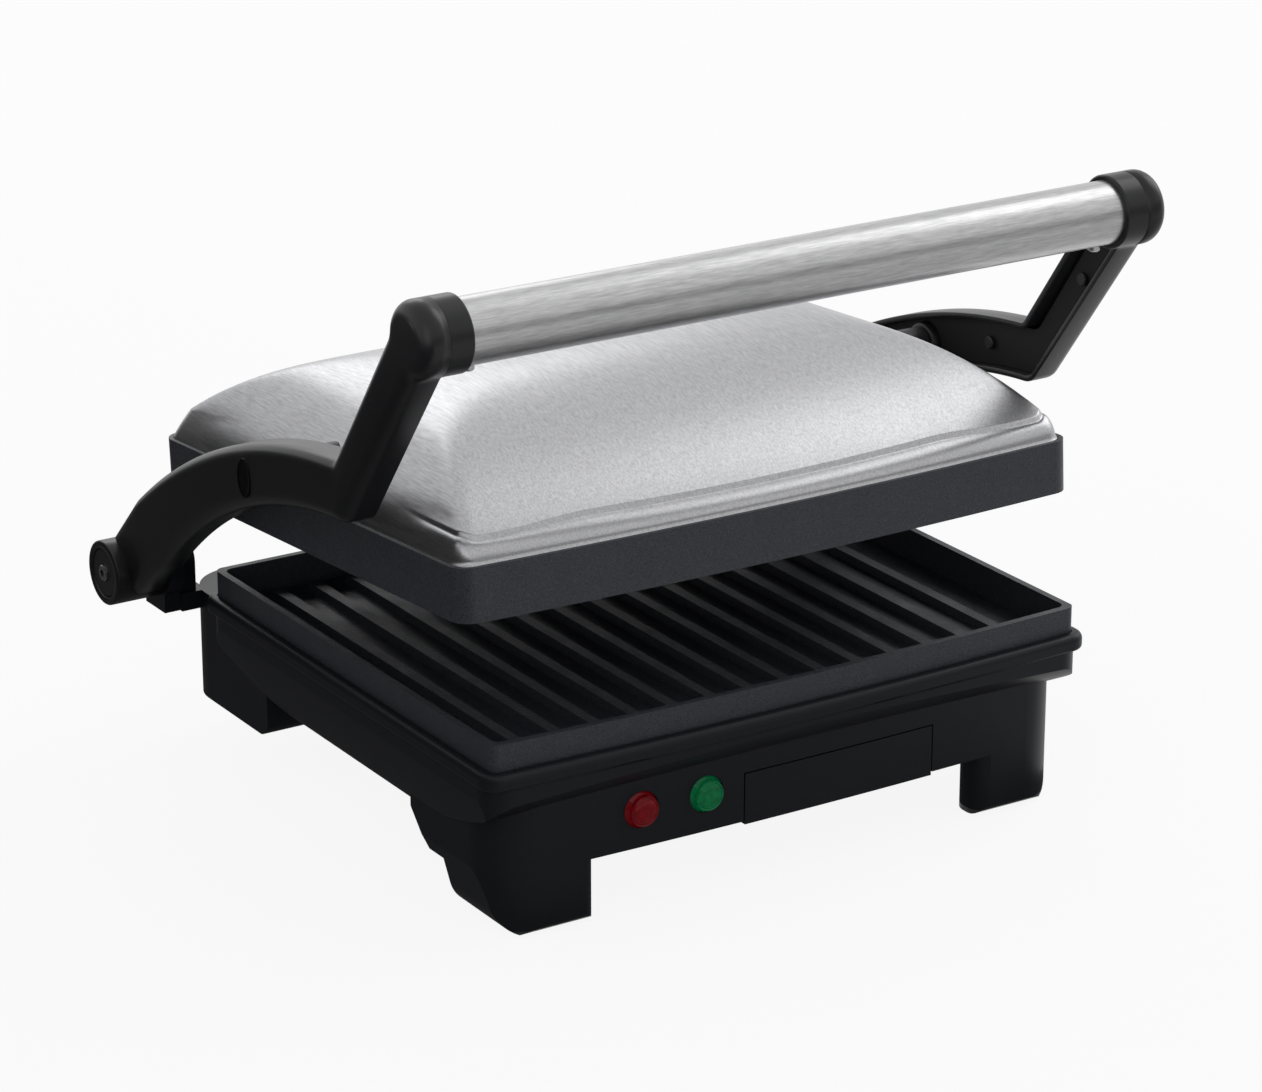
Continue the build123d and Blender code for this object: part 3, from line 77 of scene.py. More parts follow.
# ------ shader graphs
class Graph:
    """Node graph of one material, ending in a Principled shader."""

    def __init__(self, name: str) -> None:
        """Start an empty material.

        Args:
            name: Name of the material.
        """
        self.material = bpy.data.materials.new(name)
        self.material.use_nodes = True
        self.tree = self.material.node_tree
        self.tree.nodes.clear()
        self.output = self.tree.nodes.new("ShaderNodeOutputMaterial")
        self.shader = self.tree.nodes.new("ShaderNodeBsdfPrincipled")
        self.tree.links.new(self.shader.outputs[0], self.output.inputs["Surface"])

    def node(self, kind: str, **settings: object) -> bpy.types.Node:
        """Add a node.

        Args:
            kind: Node type, without its ShaderNode prefix.
            settings: Node properties, or input values under the inputs' own names.

        Returns:
            The new node.
        """
        made = self.tree.nodes.new("ShaderNode" + kind)
        for key, value in settings.items():
            if hasattr(made, key):
                setattr(made, key, value)
            else:
                made.inputs[key.replace("_", " ")].default_value = value
        return made

    def link(self, source: bpy.types.NodeSocket, target: bpy.types.NodeSocket) -> None:
        """Join two sockets."""
        self.tree.links.new(source, target)

    def place(self, scale: Place = (1.0, 1.0, 1.0)) -> bpy.types.NodeSocket:
        """Object coordinates, stretched.

        Args:
            scale: Stretch along each axis.

        Returns:
            Vector socket.
        """
        mapping = self.node("Mapping")
        mapping.inputs["Scale"].default_value = scale
        self.link(self.node("TexCoord").outputs["Object"], mapping.inputs["Vector"])
        return mapping.outputs["Vector"]

    def noise(self, place: bpy.types.NodeSocket, scale: float, detail: float = 2.0,
              rough: float = 0.5) -> bpy.types.NodeSocket:
        """Soft random pattern at a place.

        Args:
            place: Vector socket.
            scale: Cells per metre.
            detail: Octaves.
            rough: Weight of the finer octaves.

        Returns:
            Value socket from 0 to 1.
        """
        made = self.node("TexNoise", Scale=scale, Detail=detail, Roughness=rough)
        self.link(place, made.inputs["Vector"])
        return made.outputs[0]

    def cells(self, place: bpy.types.NodeSocket, scale: float) -> bpy.types.NodeSocket:
        """Smooth cell pattern at a place: distance to the nearest seed.

        Args:
            place: Vector socket.
            scale: Cells per metre.

        Returns:
            Value socket.
        """
        made = self.node("TexVoronoi", feature="SMOOTH_F1", Scale=scale)
        self.link(place, made.inputs["Vector"])
        return made.outputs["Distance"]

    def spread(self, value: bpy.types.NodeSocket, low: float, high: float) -> bpy.types.NodeSocket:
        """Map the middle part of a pattern to a range.

        Args:
            value: Pattern socket.
            low: Result where the pattern is 0.3 or less.
            high: Result where it is 0.7 or more.

        Returns:
            Value socket.
        """
        made = self.node("MapRange")
        self.link(value, made.inputs["Value"])
        made.inputs["From Min"].default_value = 0.3
        made.inputs["From Max"].default_value = 0.7
        made.inputs["To Min"].default_value = low
        made.inputs["To Max"].default_value = high
        return made.outputs["Result"]

    def ramp(self, value: bpy.types.NodeSocket, stops: list[tuple[float, Colour]]) -> bpy.types.NodeSocket:
        """Colours along a pattern.

        Args:
            value: Pattern socket.
            stops: Two pairs of position and colour.

        Returns:
            Colour socket.
        """
        made = self.node("ValToRGB")
        elements = made.color_ramp.elements
        for element, (position, colour) in zip(elements, stops):
            element.position = position
            element.color = (*colour, 1.0)
        self.link(value, made.inputs["Fac"])
        return made.outputs["Color"]

    def bump(self, height: bpy.types.NodeSocket, depth: float, strength: float,
             under: bpy.types.NodeSocket | None = None) -> bpy.types.NodeSocket:
        """Relief from a height pattern.

        Args:
            height: Pattern socket.
            depth: Height of the relief in metres.
            strength: Share of the relief that shows.
            under: Normal socket of a coarser relief below it.

        Returns:
            Normal socket.
        """
        made = self.node("Bump", Strength=strength, Distance=depth)
        self.link(height, made.inputs["Height"])
        if under is not None:
            self.link(under, made.inputs["Normal"])
        return made.outputs["Normal"]

    def set(self, **values: object) -> None:
        """Set the shader's own sockets, or link them where a value is a socket.

        Args:
            values: Values under the sockets' names, with _ for a space.
        """
        for key, value in values.items():
            socket = self.shader.inputs[key.replace("_", " ")]
            if isinstance(value, bpy.types.NodeSocket):
                self.link(value, socket)
            else:
                socket.default_value = value


def smooth(value: np.ndarray, start: float = 0.0, run: float = 1.0) -> np.ndarray:
    """Smooth step from 0 to 1.

    Args:
        value: Where to read the step.
        start: Value at which it leaves 0.
        run: How far on it reaches 1.

    Returns:
        Shares from 0 to 1.
    """
    held = np.clip((value - start) / run, 0.0, 1.0)
    return held * held * (3 - 2 * held)


def hermite(way: np.ndarray) -> tuple[np.ndarray, np.ndarray, np.ndarray]:
    """Weights of a cubic's climb, its leaving slope and its arriving slope along the way."""
    return 3 * way**2 - 2 * way**3, way**3 - 2 * way**2 + way, way**3 - way**2


def tint(colour: Colour, share: float) -> Colour:
    """Colour made lighter or darker by a share."""
    return tuple(min(1.0, channel * (1.0 + share)) for channel in colour)


# ------ finishes
@dataclass(frozen=True)
class Finish(ABC):
    """A surface finish that dresses pieces."""

    name: str
    slot: str

    @abstractmethod
    def build(self) -> bpy.types.Material:
        """Make the finish's material."""

    def material(self) -> bpy.types.Material:
        """The finish's material, made once."""
        return bpy.data.materials.get(self.name) or self.build()

    def dress(self, piece: bpy.types.Object) -> None:
        """Put the finish on every slot of a piece.

        Args:
            piece: CAD node or new piece.
        """
        made = self.material()
        if not piece.material_slots:
            piece.data.materials.append(made)
        for held in piece.material_slots:
            held.material = made


@dataclass(frozen=True)
class Moulded(Finish):
    """Moulded plastic: fine spark-eroded grain over a faint unevenness."""

    colour: Colour = (0.02, 0.02, 0.024)
    roughness: float = 0.45
    grain: float = 1600.0
    depth: float = 0.00004
    specular: float = 0.5

    def build(self) -> bpy.types.Material:
        """Grain noise for the relief; broad noise for shade and gloss."""
        graph = Graph(self.name)
        place = graph.place()
        broad = graph.noise(place, 14.0, 3.0)
        fine = graph.noise(place, self.grain, 2.0, 0.6)
        graph.set(
            Base_Color=graph.ramp(broad, [(0.3, tint(self.colour, -0.08)), (0.7, tint(self.colour, 0.08))]),
            Roughness=graph.spread(broad, self.roughness - 0.03, self.roughness + 0.05),
            Normal=graph.bump(fine, self.depth, 0.6),
            Specular_IOR_Level=self.specular,
        )
        return graph.material


@dataclass(frozen=True)
class Hammered(Finish):
    """Non-stick coating on a casting: small soft hammer marks with a metallic fleck."""

    colour: Colour = (0.016, 0.0175, 0.023)
    fleck: Colour = (0.06, 0.065, 0.08)
    mark: float = 900.0
    depth: float = 0.00018
    roughness: float = 0.45

    def build(self) -> bpy.types.Material:
        """Cells for the hammer marks; fine noise picks out the flecks."""
        graph = Graph(self.name)
        place = graph.place()
        marks = graph.cells(place, self.mark)
        wander = graph.noise(place, 60.0)
        fine = graph.noise(place, 2600.0, 2.0, 0.7)
        coarse = graph.bump(marks, self.depth, 0.5)
        graph.set(
            Base_Color=graph.ramp(fine, [(0.42, self.colour), (0.72, self.fleck)]),
            Roughness=graph.spread(wander, self.roughness - 0.05, self.roughness + 0.07),
            Metallic=0.1,
            Specular_IOR_Level=0.4,
            Normal=graph.bump(fine, 0.00006, 0.5, coarse),
        )
        return graph.material


@dataclass(frozen=True)
class Brushed(Finish):
    """Brushed steel: long fine scratches along one axis."""

    colour: Colour = (0.56, 0.56, 0.565)
    axis: Axis = Axis.ACROSS
    roughness: float = 0.33
    scratch: float = 1500.0
    stretch: float = 0.07
    depth: float = 0.00005

    def build(self) -> bpy.types.Material:
        """Noise squeezed along the grain gives scratches in relief, shade and gloss."""
        graph = Graph(self.name)
        scale = tuple(self.stretch if along else 1.0 for along in self.axis.value)
        place = graph.place(scale)
        lines = graph.noise(place, self.scratch, 3.0, 0.65)
        bands = graph.noise(place, self.scratch * 0.12)
        haze = graph.noise(graph.place(), 9.0)
        graph.set(
            Base_Color=graph.ramp(lines, [(0.3, tint(self.colour, -0.2)), (0.7, tint(self.colour, 0.2))]),
            Metallic=1.0,
            Roughness=graph.spread(bands, self.roughness - 0.015, self.roughness + 0.02),
            Normal=graph.bump(lines, self.depth, 0.5, graph.bump(haze, 0.0002, 0.03)),
        )
        return graph.material


@dataclass(frozen=True)
class Plain(Finish):
    """Small metal or ceramic part: faint tool marks and a slight stain."""

    colour: Colour = (0.6, 0.6, 0.6)
    metal: float = 1.0
    roughness: float = 0.3
    marks: float = 900.0
    depth: float = 0.00002

    def build(self) -> bpy.types.Material:
        """Noise in shade, gloss and relief."""
        graph = Graph(self.name)
        place = graph.place()
        stain = graph.noise(place, 120.0, 3.0)
        tool = graph.noise(place, self.marks)
        graph.set(
            Base_Color=graph.ramp(stain, [(0.3, tint(self.colour, -0.12)), (0.7, self.colour)]),
            Metallic=self.metal,
            Roughness=graph.spread(stain, self.roughness, self.roughness + 0.1),
            Normal=graph.bump(tool, self.depth, 0.4),
        )
        return graph.material


@dataclass(frozen=True)
class Lens(Finish):
    """Translucent coloured lens plastic."""

    colour: Colour = (0.5, 0.02, 0.015)
    transmission: float = 0.0

    def build(self) -> bpy.types.Material:
        """Coloured clear plastic with a faint inner cloudiness."""
        graph = Graph(self.name)
        cloud = graph.noise(graph.place(), 420.0)
        graph.set(
            Base_Color=graph.ramp(cloud, [(0.3, tint(self.colour, -0.25)), (0.7, tint(self.colour, 0.2))]),
            Roughness=0.15,
            Transmission_Weight=self.transmission,
            IOR=1.45,
            Specular_IOR_Level=0.22,
        )
        return graph.material


HOUSING = Moulded(
    "satin_charcoal_housing", "housing_plastic", (0.0082, 0.009, 0.0122), roughness=0.38, specular=0.18
)
COVER = Moulded("matt_black_cover", "cover_plastic", (0.009, 0.009, 0.01), roughness=0.6, specular=0.25)
ARM = Moulded(
    "gloss_black_arm", "arm_plastic", (0.0078, 0.008, 0.0094), roughness=0.3, depth=0.00002, specular=0.32
)
# near-black finish, painted shade: it stands for the shade inside the deep hole over each arm's pivot
HOLE_SHADE = Moulded(
    "painted_hole_shade", "arm_plastic", (0.0012, 0.0012, 0.0014), roughness=0.5, depth=0.00001, specular=0.12
)
COATING = Hammered("hammered_coating", "grill_coating")
LID_STEEL = Brushed("brushed_lid_steel", "lid_steel", (0.385, 0.386, 0.398), axis=Axis.ALONG)
TUBE_STEEL = Brushed("brushed_tube_steel", "tube_steel", (0.44, 0.44, 0.445), roughness=0.32)
REFLECTOR = Plain("aluminised_sheet", "reflector_steel", (0.78, 0.78, 0.78), roughness=0.2)
ELEMENT = Plain("element_sheath", "element_steel", (0.3, 0.29, 0.27), roughness=0.45)
BRACKET = Plain("rolled_bracket_steel", "bracket_steel", (0.5, 0.5, 0.5), roughness=0.35)
PIN = Plain("ground_pin_steel", "pin_steel", (0.72, 0.72, 0.72), roughness=0.18)
BLACKED = Plain("blackened_steel", "bracket_steel", (0.03, 0.03, 0.032), metal=0.6, roughness=0.4)
BLACK_PIN = Plain("blackened_pin", "pin_steel", (0.03, 0.03, 0.032), metal=0.6, roughness=0.4)
SCREW = Plain("plated_screw", "screw_steel", (0.42, 0.42, 0.41), roughness=0.25)
BLACK_SCREW = Plain("blackened_screw", "screw_steel", (0.012, 0.012, 0.013), metal=0.3, roughness=0.45)
BRASS = Plain("turned_brass", "bush_brass", (0.72, 0.52, 0.25), roughness=0.25)
RUBBER = Moulded(
    "matt_foot_rubber", "foot_rubber", (0.012, 0.012, 0.012), roughness=0.75, depth=0.00008, specular=0.2
)
RED = Lens("clear_red_lens", "red_lens", (0.17, 0.002, 0.005))
GREEN = Lens("clear_green_lens", "green_lens", (0.001, 0.16, 0.05))
NEON = Lens("thin_lamp_glass", "lamp_glass", (0.85, 0.8, 0.7), transmission=0.8)
CERAMIC = Plain("terminal_plastic", "terminal_plastic", (0.7, 0.69, 0.62), metal=0.0, roughness=0.4)


# ------ surfaces
@dataclass(frozen=True)
class Patch:
    """Grid of points, rows by columns by three, with its closures."""

    points: np.ndarray
    closed: bool = True
    first_pole: bool = False
    last_pole: bool = False

    def parts(self, start: int) -> tuple[np.ndarray, list[list[int]]]:
        """Points and faces of the patch.

        Args:
            start: Number of points before this patch in the mesh.

        Returns:
            Points as one list, and faces that number them.
        """
        grid = self.points[1:] if self.first_pole else self.points
        grid = grid[:-1] if self.last_pole else grid
        rows, columns = grid.shape[:2]
        down = np.arange(rows - 1)[:, None] * columns
        along = np.arange(columns if self.closed else columns - 1)[None]
        after = (along + 1) % columns
        quads = np.stack([down + along, down + after, down + columns + after, down + columns + along], -1)
        faces = (quads.reshape(-1, 4) + start).tolist()
        body = [grid.reshape(-1, 3)]
        total = rows * columns
        last = total - columns
        fans = (self.first_pole, 0, after, along), (self.last_pole, -1, last + along, last + after)
        for pole, row, one, two in fans:
            if pole:
                body.append(self.points[row].mean(axis=0)[None])
                fan = np.stack([one[0], two[0], np.full(along.size, total)], -1)
                faces += (fan + start).tolist()
                total += 1
        return np.vstack(body), faces


def surface(name: str, *patches: Patch, weld: bool = False) -> bpy.types.Object:
    """Mesh of one or more patches.

    Args:
        name: Name of the piece.
        patches: Its patches, in metres, in the row's frame.
        weld: Whether points in one place become one, where a patch folds onto itself.

    Returns:
        The new object, with smooth faces.
    """
    points, faces, count = [], [], 0
    for patch in patches:
        body, joined = patch.parts(count)
        points.append(body)
        faces += joined
        count += len(body)
    mesh = bpy.data.meshes.new(name)
    mesh.from_pydata(np.vstack(points).tolist(), [], faces)
    if weld:
        shape = bmesh.new()
        shape.from_mesh(mesh)
        bmesh.ops.remove_doubles(shape, verts=shape.verts, dist=1e-6)
        shape.to_mesh(mesh)
        shape.free()
        faces = mesh.polygons
    mesh.polygons.foreach_set("use_smooth", np.ones(len(faces), dtype=bool))
    mesh.update()
    made = bpy.data.objects.new(name, mesh)
    bpy.context.scene.collection.objects.link(made)
    return made


def rectangle(name: str, width: float, height: float) -> bpy.types.Object:
    """Flat rectangle about the origin, facing up."""
    x, y = np.meshgrid(np.array([-0.5, 0.5]) * width, np.array([-0.5, 0.5]) * height)
    return surface(name, Patch(np.stack([x, y, 0 * x], -1), closed=False))


def arc(centre: Pair, radius: float, start: float, end: float, count: int) -> np.ndarray:
    """Points on a circle in a plane.

    Args:
        centre: Its centre.
        radius: Its radius.
        start: First angle, in radians.
        end: Last angle.
        count: Number of points.

    Returns:
        Array of shape (count, 2).
    """
    turn = np.linspace(start, end, count)
    return np.array(centre) + radius * np.stack([np.cos(turn), np.sin(turn)], -1)


def swing(middle: np.ndarray, radius: float, start: np.ndarray, end: np.ndarray, count: int) -> np.ndarray:
    """Shorter arc about a middle.

    Args:
        middle: Its centre.
        radius: Its radius.
        start: Point towards which it starts.
        end: Point towards which it ends.
        count: Number of points.

    Returns:
        Array of shape (count, 2).
    """
    one, two = start - middle, end - middle
    sweep = np.arctan2(one[0] * two[1] - one[1] * two[0], one @ two)
    first = np.arctan2(one[1], one[0])
    return arc(tuple(middle), radius, first, first + sweep, count)


def lathe(profile: np.ndarray, middle: np.ndarray, around: int, side: Side) -> Patch:
    """Turned form about a line along X.

    Args:
        profile: Pairs of x and radius, from the outer end inwards; no radius at an end makes a pole.
        middle: A place on the line.
        around: Points round the form.
        side: Half that it stands in.

    Returns:
        The patch, with its faces outward.
    """
    turn = np.linspace(0.0, 2 * np.pi, around, endpoint=False)[None] * -side.value
    x, radius = profile[:, :1], profile[:, 1:]
    y = middle[1] + radius * np.cos(turn)
    z = middle[2] + radius * np.sin(turn)
    points = np.stack([side.value * x + 0 * turn, y, z], -1)
    return Patch(points, first_pole=profile[0, 1] == 0.0, last_pole=profile[-1, 1] == 0.0)


def settle(piece: bpy.types.Object, body: str, finish: Finish, *nodes: str) -> None:
    """Dress a new piece, join it to its body and hide the nodes it stands for.

    Args:
        piece: New object, in its place in the row's frame.
        body: CAD body that it rides on.
        finish: Its finish.
        nodes: CAD nodes that it replaces.
    """
    finish.dress(piece)
    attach(piece, body)
    if nodes:
        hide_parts(*nodes)
    log.info("%s rides on %s", piece.name, body)


def dress_nodes(finish: Finish, *nodes: str) -> None:
    """Put a finish on CAD nodes that keep their own shape.

    Args:
        finish: The finish.
        nodes: Names of the nodes.
    """
    for node in nodes:
        finish.dress(frame["nodes"][node])
        log.info("%s dressed with %s", node, finish.name)


def joint_place(name: str) -> np.ndarray:
    """Where a joint's axis stands, in metres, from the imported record."""
    found = next(joint for joint in frame["joints"] if joint["name"] == name)
    return np.array(found["pos_m"], float)


# ------ lid
@dataclass
class LidFrame:
    """The lid's own directions: u across, v to the back, w up from the band's lower edge."""

    tilt: float = np.radians(3.92)
    behind_pivot: float = 4.57 * MM
    below_pivot: float = 36.85 * MM

    def __post_init__(self) -> None:
        """Work out the directions from the lid pivot's joint."""
        self.back = np.array([0.0, np.cos(self.tilt), -np.sin(self.tilt)])
        self.up = np.array([0.0, np.sin(self.tilt), np.cos(self.tilt)])
        pivot = joint_place("lid_level_b")
        self.origin = pivot + self.back * self.behind_pivot - self.up * self.below_pivot

    def world(self, u: np.ndarray, v: np.ndarray, w: np.ndarray) -> np.ndarray:
        """Points in the row's frame from the lid's own measures.

        Args:
            u: Across.
            v: To the back.
            w: Up.

        Returns:
            Array of points, one more axis than the inputs.
        """
        across = np.array([1.0, 0.0, 0.0])
        return self.origin + u[..., None] * across + v[..., None] * self.back + w[..., None] * self.up


@dataclass
class Lid:
    """Floating lid: ribbed upper plate, domed steel cover and what lies between them."""

    spots: LidFrame = field(default_factory=LidFrame)
    width: float = 291.2 * MM
    depth: float = 250.4 * MM
    bow: float = 5.0 * MM
    band_height: float = 22.0 * MM
    inset: float = 2.0 * MM
    corner: float = 7.0 * MM
    sheet: float = 1.0 * MM
    skirt: float = 1.5 * MM
    around: int = 420
    # the dome
    crest: float = 46.5 * MM
    side_power: float = 5.9
    edge_power: float = 0.9
    side_spare: float = 0.3 * MM
    arch_drop: float = 43.0 * MM
    arch_lift: float = 1.0 * MM
    blend: float = 1.2 * MM
    # the lip, the bead and the fold at its foot
    lip_run: float = 0.7 * MM
    lip_rise: float = 1.3 * MM
    lip_power: float = 1.4
    fold_run: float = 1.4 * MM
    fold_drop: float = 2.3 * MM
    shelf_slope: float = 0.3
    crease_front: float = 9.4 * MM
    crease_corner: float = 6.0 * MM
    crease_flank: float = 5.6 * MM
    hump: float = 7.6 * MM
    hump_middle: float = 22.0 * MM
    hump_reach: float = 62.0 * MM
    lean_power: float = 0.85
    # where each zone starts, and how far on it is whole
    flank_zone: Pair = (0.93, 0.065)
    corner_zone: Pair = (85.0 * MM, 50.0 * MM)
    end_zone: Pair = (70.0 * MM, 40.0 * MM)
    lean_zone: Pair = (110.0 * MM, 25.0 * MM)

    def __post_init__(self) -> None:
        """Half the width and half the depth of the cover's foot."""
        self.half_u = self.width / 2 - self.inset
        self.half_v = self.depth / 2 - self.inset

    def outline(self) -> tuple[np.ndarray, np.ndarray]:
        """Plan of the cover's foot: a rectangle with a bowed front and round corners.

        A rounded rectangle is walked by its length: straight sides and quarter circles. The bow then
        pushes the front half forward by a parabola across the width.

        Returns:
            Across and back measures of the points, which run anticlockwise seen from above.
        """
        straight_u = self.half_u - self.corner
        straight_v = self.half_v - self.corner
        quarter = self.corner * np.pi / 2
        lengths = np.array([2 * straight_u, quarter, 2 * straight_v, quarter] * 2)
        stations = np.concatenate([[0.0], np.cumsum(lengths)])
        walk = np.linspace(0.0, stations[-1], self.around, endpoint=False)
        part = np.clip(np.searchsorted(stations, walk, side="right") - 1, 0, len(lengths) - 1)
        ahead = walk - stations[part]
        turn = part // 2 * np.pi / 2
        bend = np.where(part % 2 == 1, ahead / self.corner, 0.0)
        run = np.where(part % 2 == 0, ahead, lengths[part - part % 2])
        corners_u = np.array([-straight_u, straight_u, straight_u, -straight_u])[part // 2]
        corners_v = np.array([-straight_v, -straight_v, straight_v, straight_v])[part // 2]
        angle = turn - np.pi / 2 + bend
        u = corners_u + np.cos(turn) * run + self.corner * np.cos(angle)
        v = corners_v + np.sin(turn) * run + self.corner * np.sin(angle)
        forward = self.bow * (1 - (u / self.half_u) ** 2) * (v < 0)
        return u, v - forward

    def shrink(self, u: np.ndarray, v: np.ndarray, inset: np.ndarray) -> tuple[np.ndarray, np.ndarray]:
        """Outline moved in by an inset at each side."""
        return u * (1 - inset / self.half_u), v * (1 - inset / self.half_v)

    def crown(self, u: np.ndarray, v: np.ndarray) -> np.ndarray:
        """Height of the dome above the band: the lower of two curves, softly joined.

        Across, a flat-topped curve falls to the sides: the crest times one minus a high power of
        the share of the half width. Along, a circle's arc falls from the middle to the ends.

        Args:
            u: Across.
            v: To the back.

        Returns:
            Heights.
        """
        share = np.abs(u / (self.half_u + self.side_spare))
        side = self.crest * np.clip(1 - share**self.side_power, 0.0, 1.0) ** self.edge_power
        radius = ((self.depth / 2) ** 2 + self.arch_drop**2) / (2 * self.arch_drop)
        fall = radius - np.sqrt(radius**2 - np.clip(v, -radius, radius) ** 2)
        arch = self.crest + self.arch_lift - fall
        return -self.blend * np.log(np.exp(-side / self.blend) + np.exp(-arch / self.blend))

    def zones(self, u: np.ndarray, v: np.ndarray) -> tuple[np.ndarray, np.ndarray, np.ndarray]:
        """Shape of the foot at each place round it.

        At the front and rear the crease lies further in at the middle than at the corners; on each
        flank it swings in round a hump. The fold runs along the front and rear and round the front
        corners. At the rear corners the foot leans.

        Args:
            u: Across.
            v: To the back.

        Returns:
            Inset of the crease, share of the fold and share of the lean.
        """
        flank = smooth(np.abs(u) / self.half_u, *self.flank_zone)
        rounded = self.crease_flank + self.hump * np.exp(-(((v - self.hump_middle) / self.hump_reach) ** 2))
        nearer = (self.crease_front - self.crease_corner) * smooth(np.abs(u), *self.corner_zone)
        crease = (1 - flank) * (self.crease_front - nearer) + flank * rounded
        fold = (1 - flank) + flank * smooth(-v, *self.end_zone)
        lean = smooth(v, *self.end_zone) * smooth(np.abs(u), *self.lean_zone)
        return crease, fold, lean

    def foot(self, u: np.ndarray, v: np.ndarray) -> tuple[np.ndarray, np.ndarray]:
        """Rings from the skirt up to the crease.

        Above the lip a ring's inset and height follow a cubic that starts upright and meets the
        shelf at a slope set for each place. The fold climbs from the shelf to the dome by a smooth
        step. Where the foot leans, all this gives way to a plain slanting curve.

        Args:
            u: Outline across.
            v: Outline to the back.

        Returns:
            Insets and heights of the rings, one row for each.
        """
        crease, fold, lean = self.zones(u, v)
        rise = self.crown(*self.shrink(u, v, crease))
        step = 1.0 * MM
        slope = (self.crown(*self.shrink(u, v, crease + step)) - rise) / step
        shelf = fold * self.shelf_slope + (1 - fold) * slope
        flat_in = crease - self.fold_run
        flat_up = rise - fold * self.fold_drop - (1 - fold) * slope * self.fold_run
        span, climb = flat_in - self.lip_run, flat_up - self.lip_rise
        share, leave, arrive = hermite(np.linspace(0.0, 1.0, 15)[:, None])
        upright = fold * 1.1 * climb + (1 - fold) * 2 * np.maximum(climb - shelf * span, 0.15 * climb)
        inward = (2.0 - 0.5 * fold) * span
        roll_in = self.lip_run + span * share + inward * arrive
        roll_up = self.lip_rise + climb * share + upright * leave + inward * shelf * arrive
        lip = np.linspace(0.0, 1.0, 5)[:-1, None] * np.ones(self.around)
        last = np.linspace(0.0, 1.0, 7)[1:, None]
        fold_in = flat_in + self.fold_run * last
        fold_up = flat_up + (rise - flat_up) * (fold * smooth(last) + (1 - fold) * last)
        inset = np.vstack([0 * lip[:1], self.lip_run * lip, roll_in, fold_in])
        height = np.vstack([0 * lip[:1] - self.skirt, self.lip_rise * lip**self.lip_power, roll_up, fold_up])
        way = np.linspace(0.0, 1.0, len(inset) - 1)[:, None]
        inset[1:] += lean * (crease * way - inset[1:])
        height[1:] += lean * (rise * way**self.lean_power - height[1:])
        return inset, height

    def cover(self) -> bpy.types.Object:
        """Steel cover: a flared lip, a rolled bead and a short fold at the foot, then the dome.

        Rings run from the foot inwards. Inside the crease they shrink to the middle and take the
        dome's height.

        Returns:
            The finished shell.
        """
        u, v = self.outline()
        inset, height = self.foot(u, v)
        foot_u, foot_v = self.shrink(u, v, inset)
        left = 1 - np.linspace(0.0, 1.0, 60)[1:, None]
        dome_u, dome_v = foot_u[-1] * left, foot_v[-1] * left
        across, back = np.vstack([foot_u, dome_u]), np.vstack([foot_v, dome_v])
        up = np.vstack([height, self.crown(dome_u, dome_v)]) + self.band_height
        shell = surface("lid_cover_shell", Patch(self.spots.world(across, back, up), last_pole=True))
        wall = shell.modifiers.new("sheet", "SOLIDIFY")
        wall.thickness = self.sheet
        wall.offset = -1.0
        return shell

    def build(self) -> None:
        """Build and dress the lid."""
        settle(self.cover(), "lid", LID_STEEL, "lid_cover")
        dress_nodes(COATING, "upper_grill_plate")
        dress_nodes(REFLECTOR, "upper_reflector")
        dress_nodes(ELEMENT, "upper_heating_element")
        dress_nodes(BRACKET, "upper_element_clips", "upper_cutout")
        dress_nodes(BLACKED, "left_pivot_bracket", "right_pivot_bracket")
        dress_nodes(SCREW, "bracket_screws", "reflector_screws", "lid_screws")


# ------ base
@dataclass
class Base:
    """Housing, lower plate, lights and feet."""

    def build(self) -> None:
        """Dress the base."""
        dress_nodes(HOUSING, "base_housing")
        dress_nodes(COVER, "bottom_cover", "cord_gland")
        dress_nodes(COATING, "lower_grill_plate")
        dress_nodes(REFLECTOR, "lower_reflector")
        dress_nodes(ELEMENT, "lower_heating_element")
        dress_nodes(BRACKET, "lower_element_clips", "lower_thermostat")
        dress_nodes(CERAMIC, "terminal_block", "thermal_fuse")
        Light("power_light_lens", RED).build()
        Light("ready_light_lens", GREEN, prism=0.11 * MM).build()
        dress_nodes(NEON, "indicator_lamps")
        dress_nodes(RUBBER, "rubber_feet")
        dress_nodes(SCREW, "cover_screws", "plate_screws")
        dress_nodes(BRASS, "hinge_bushes")


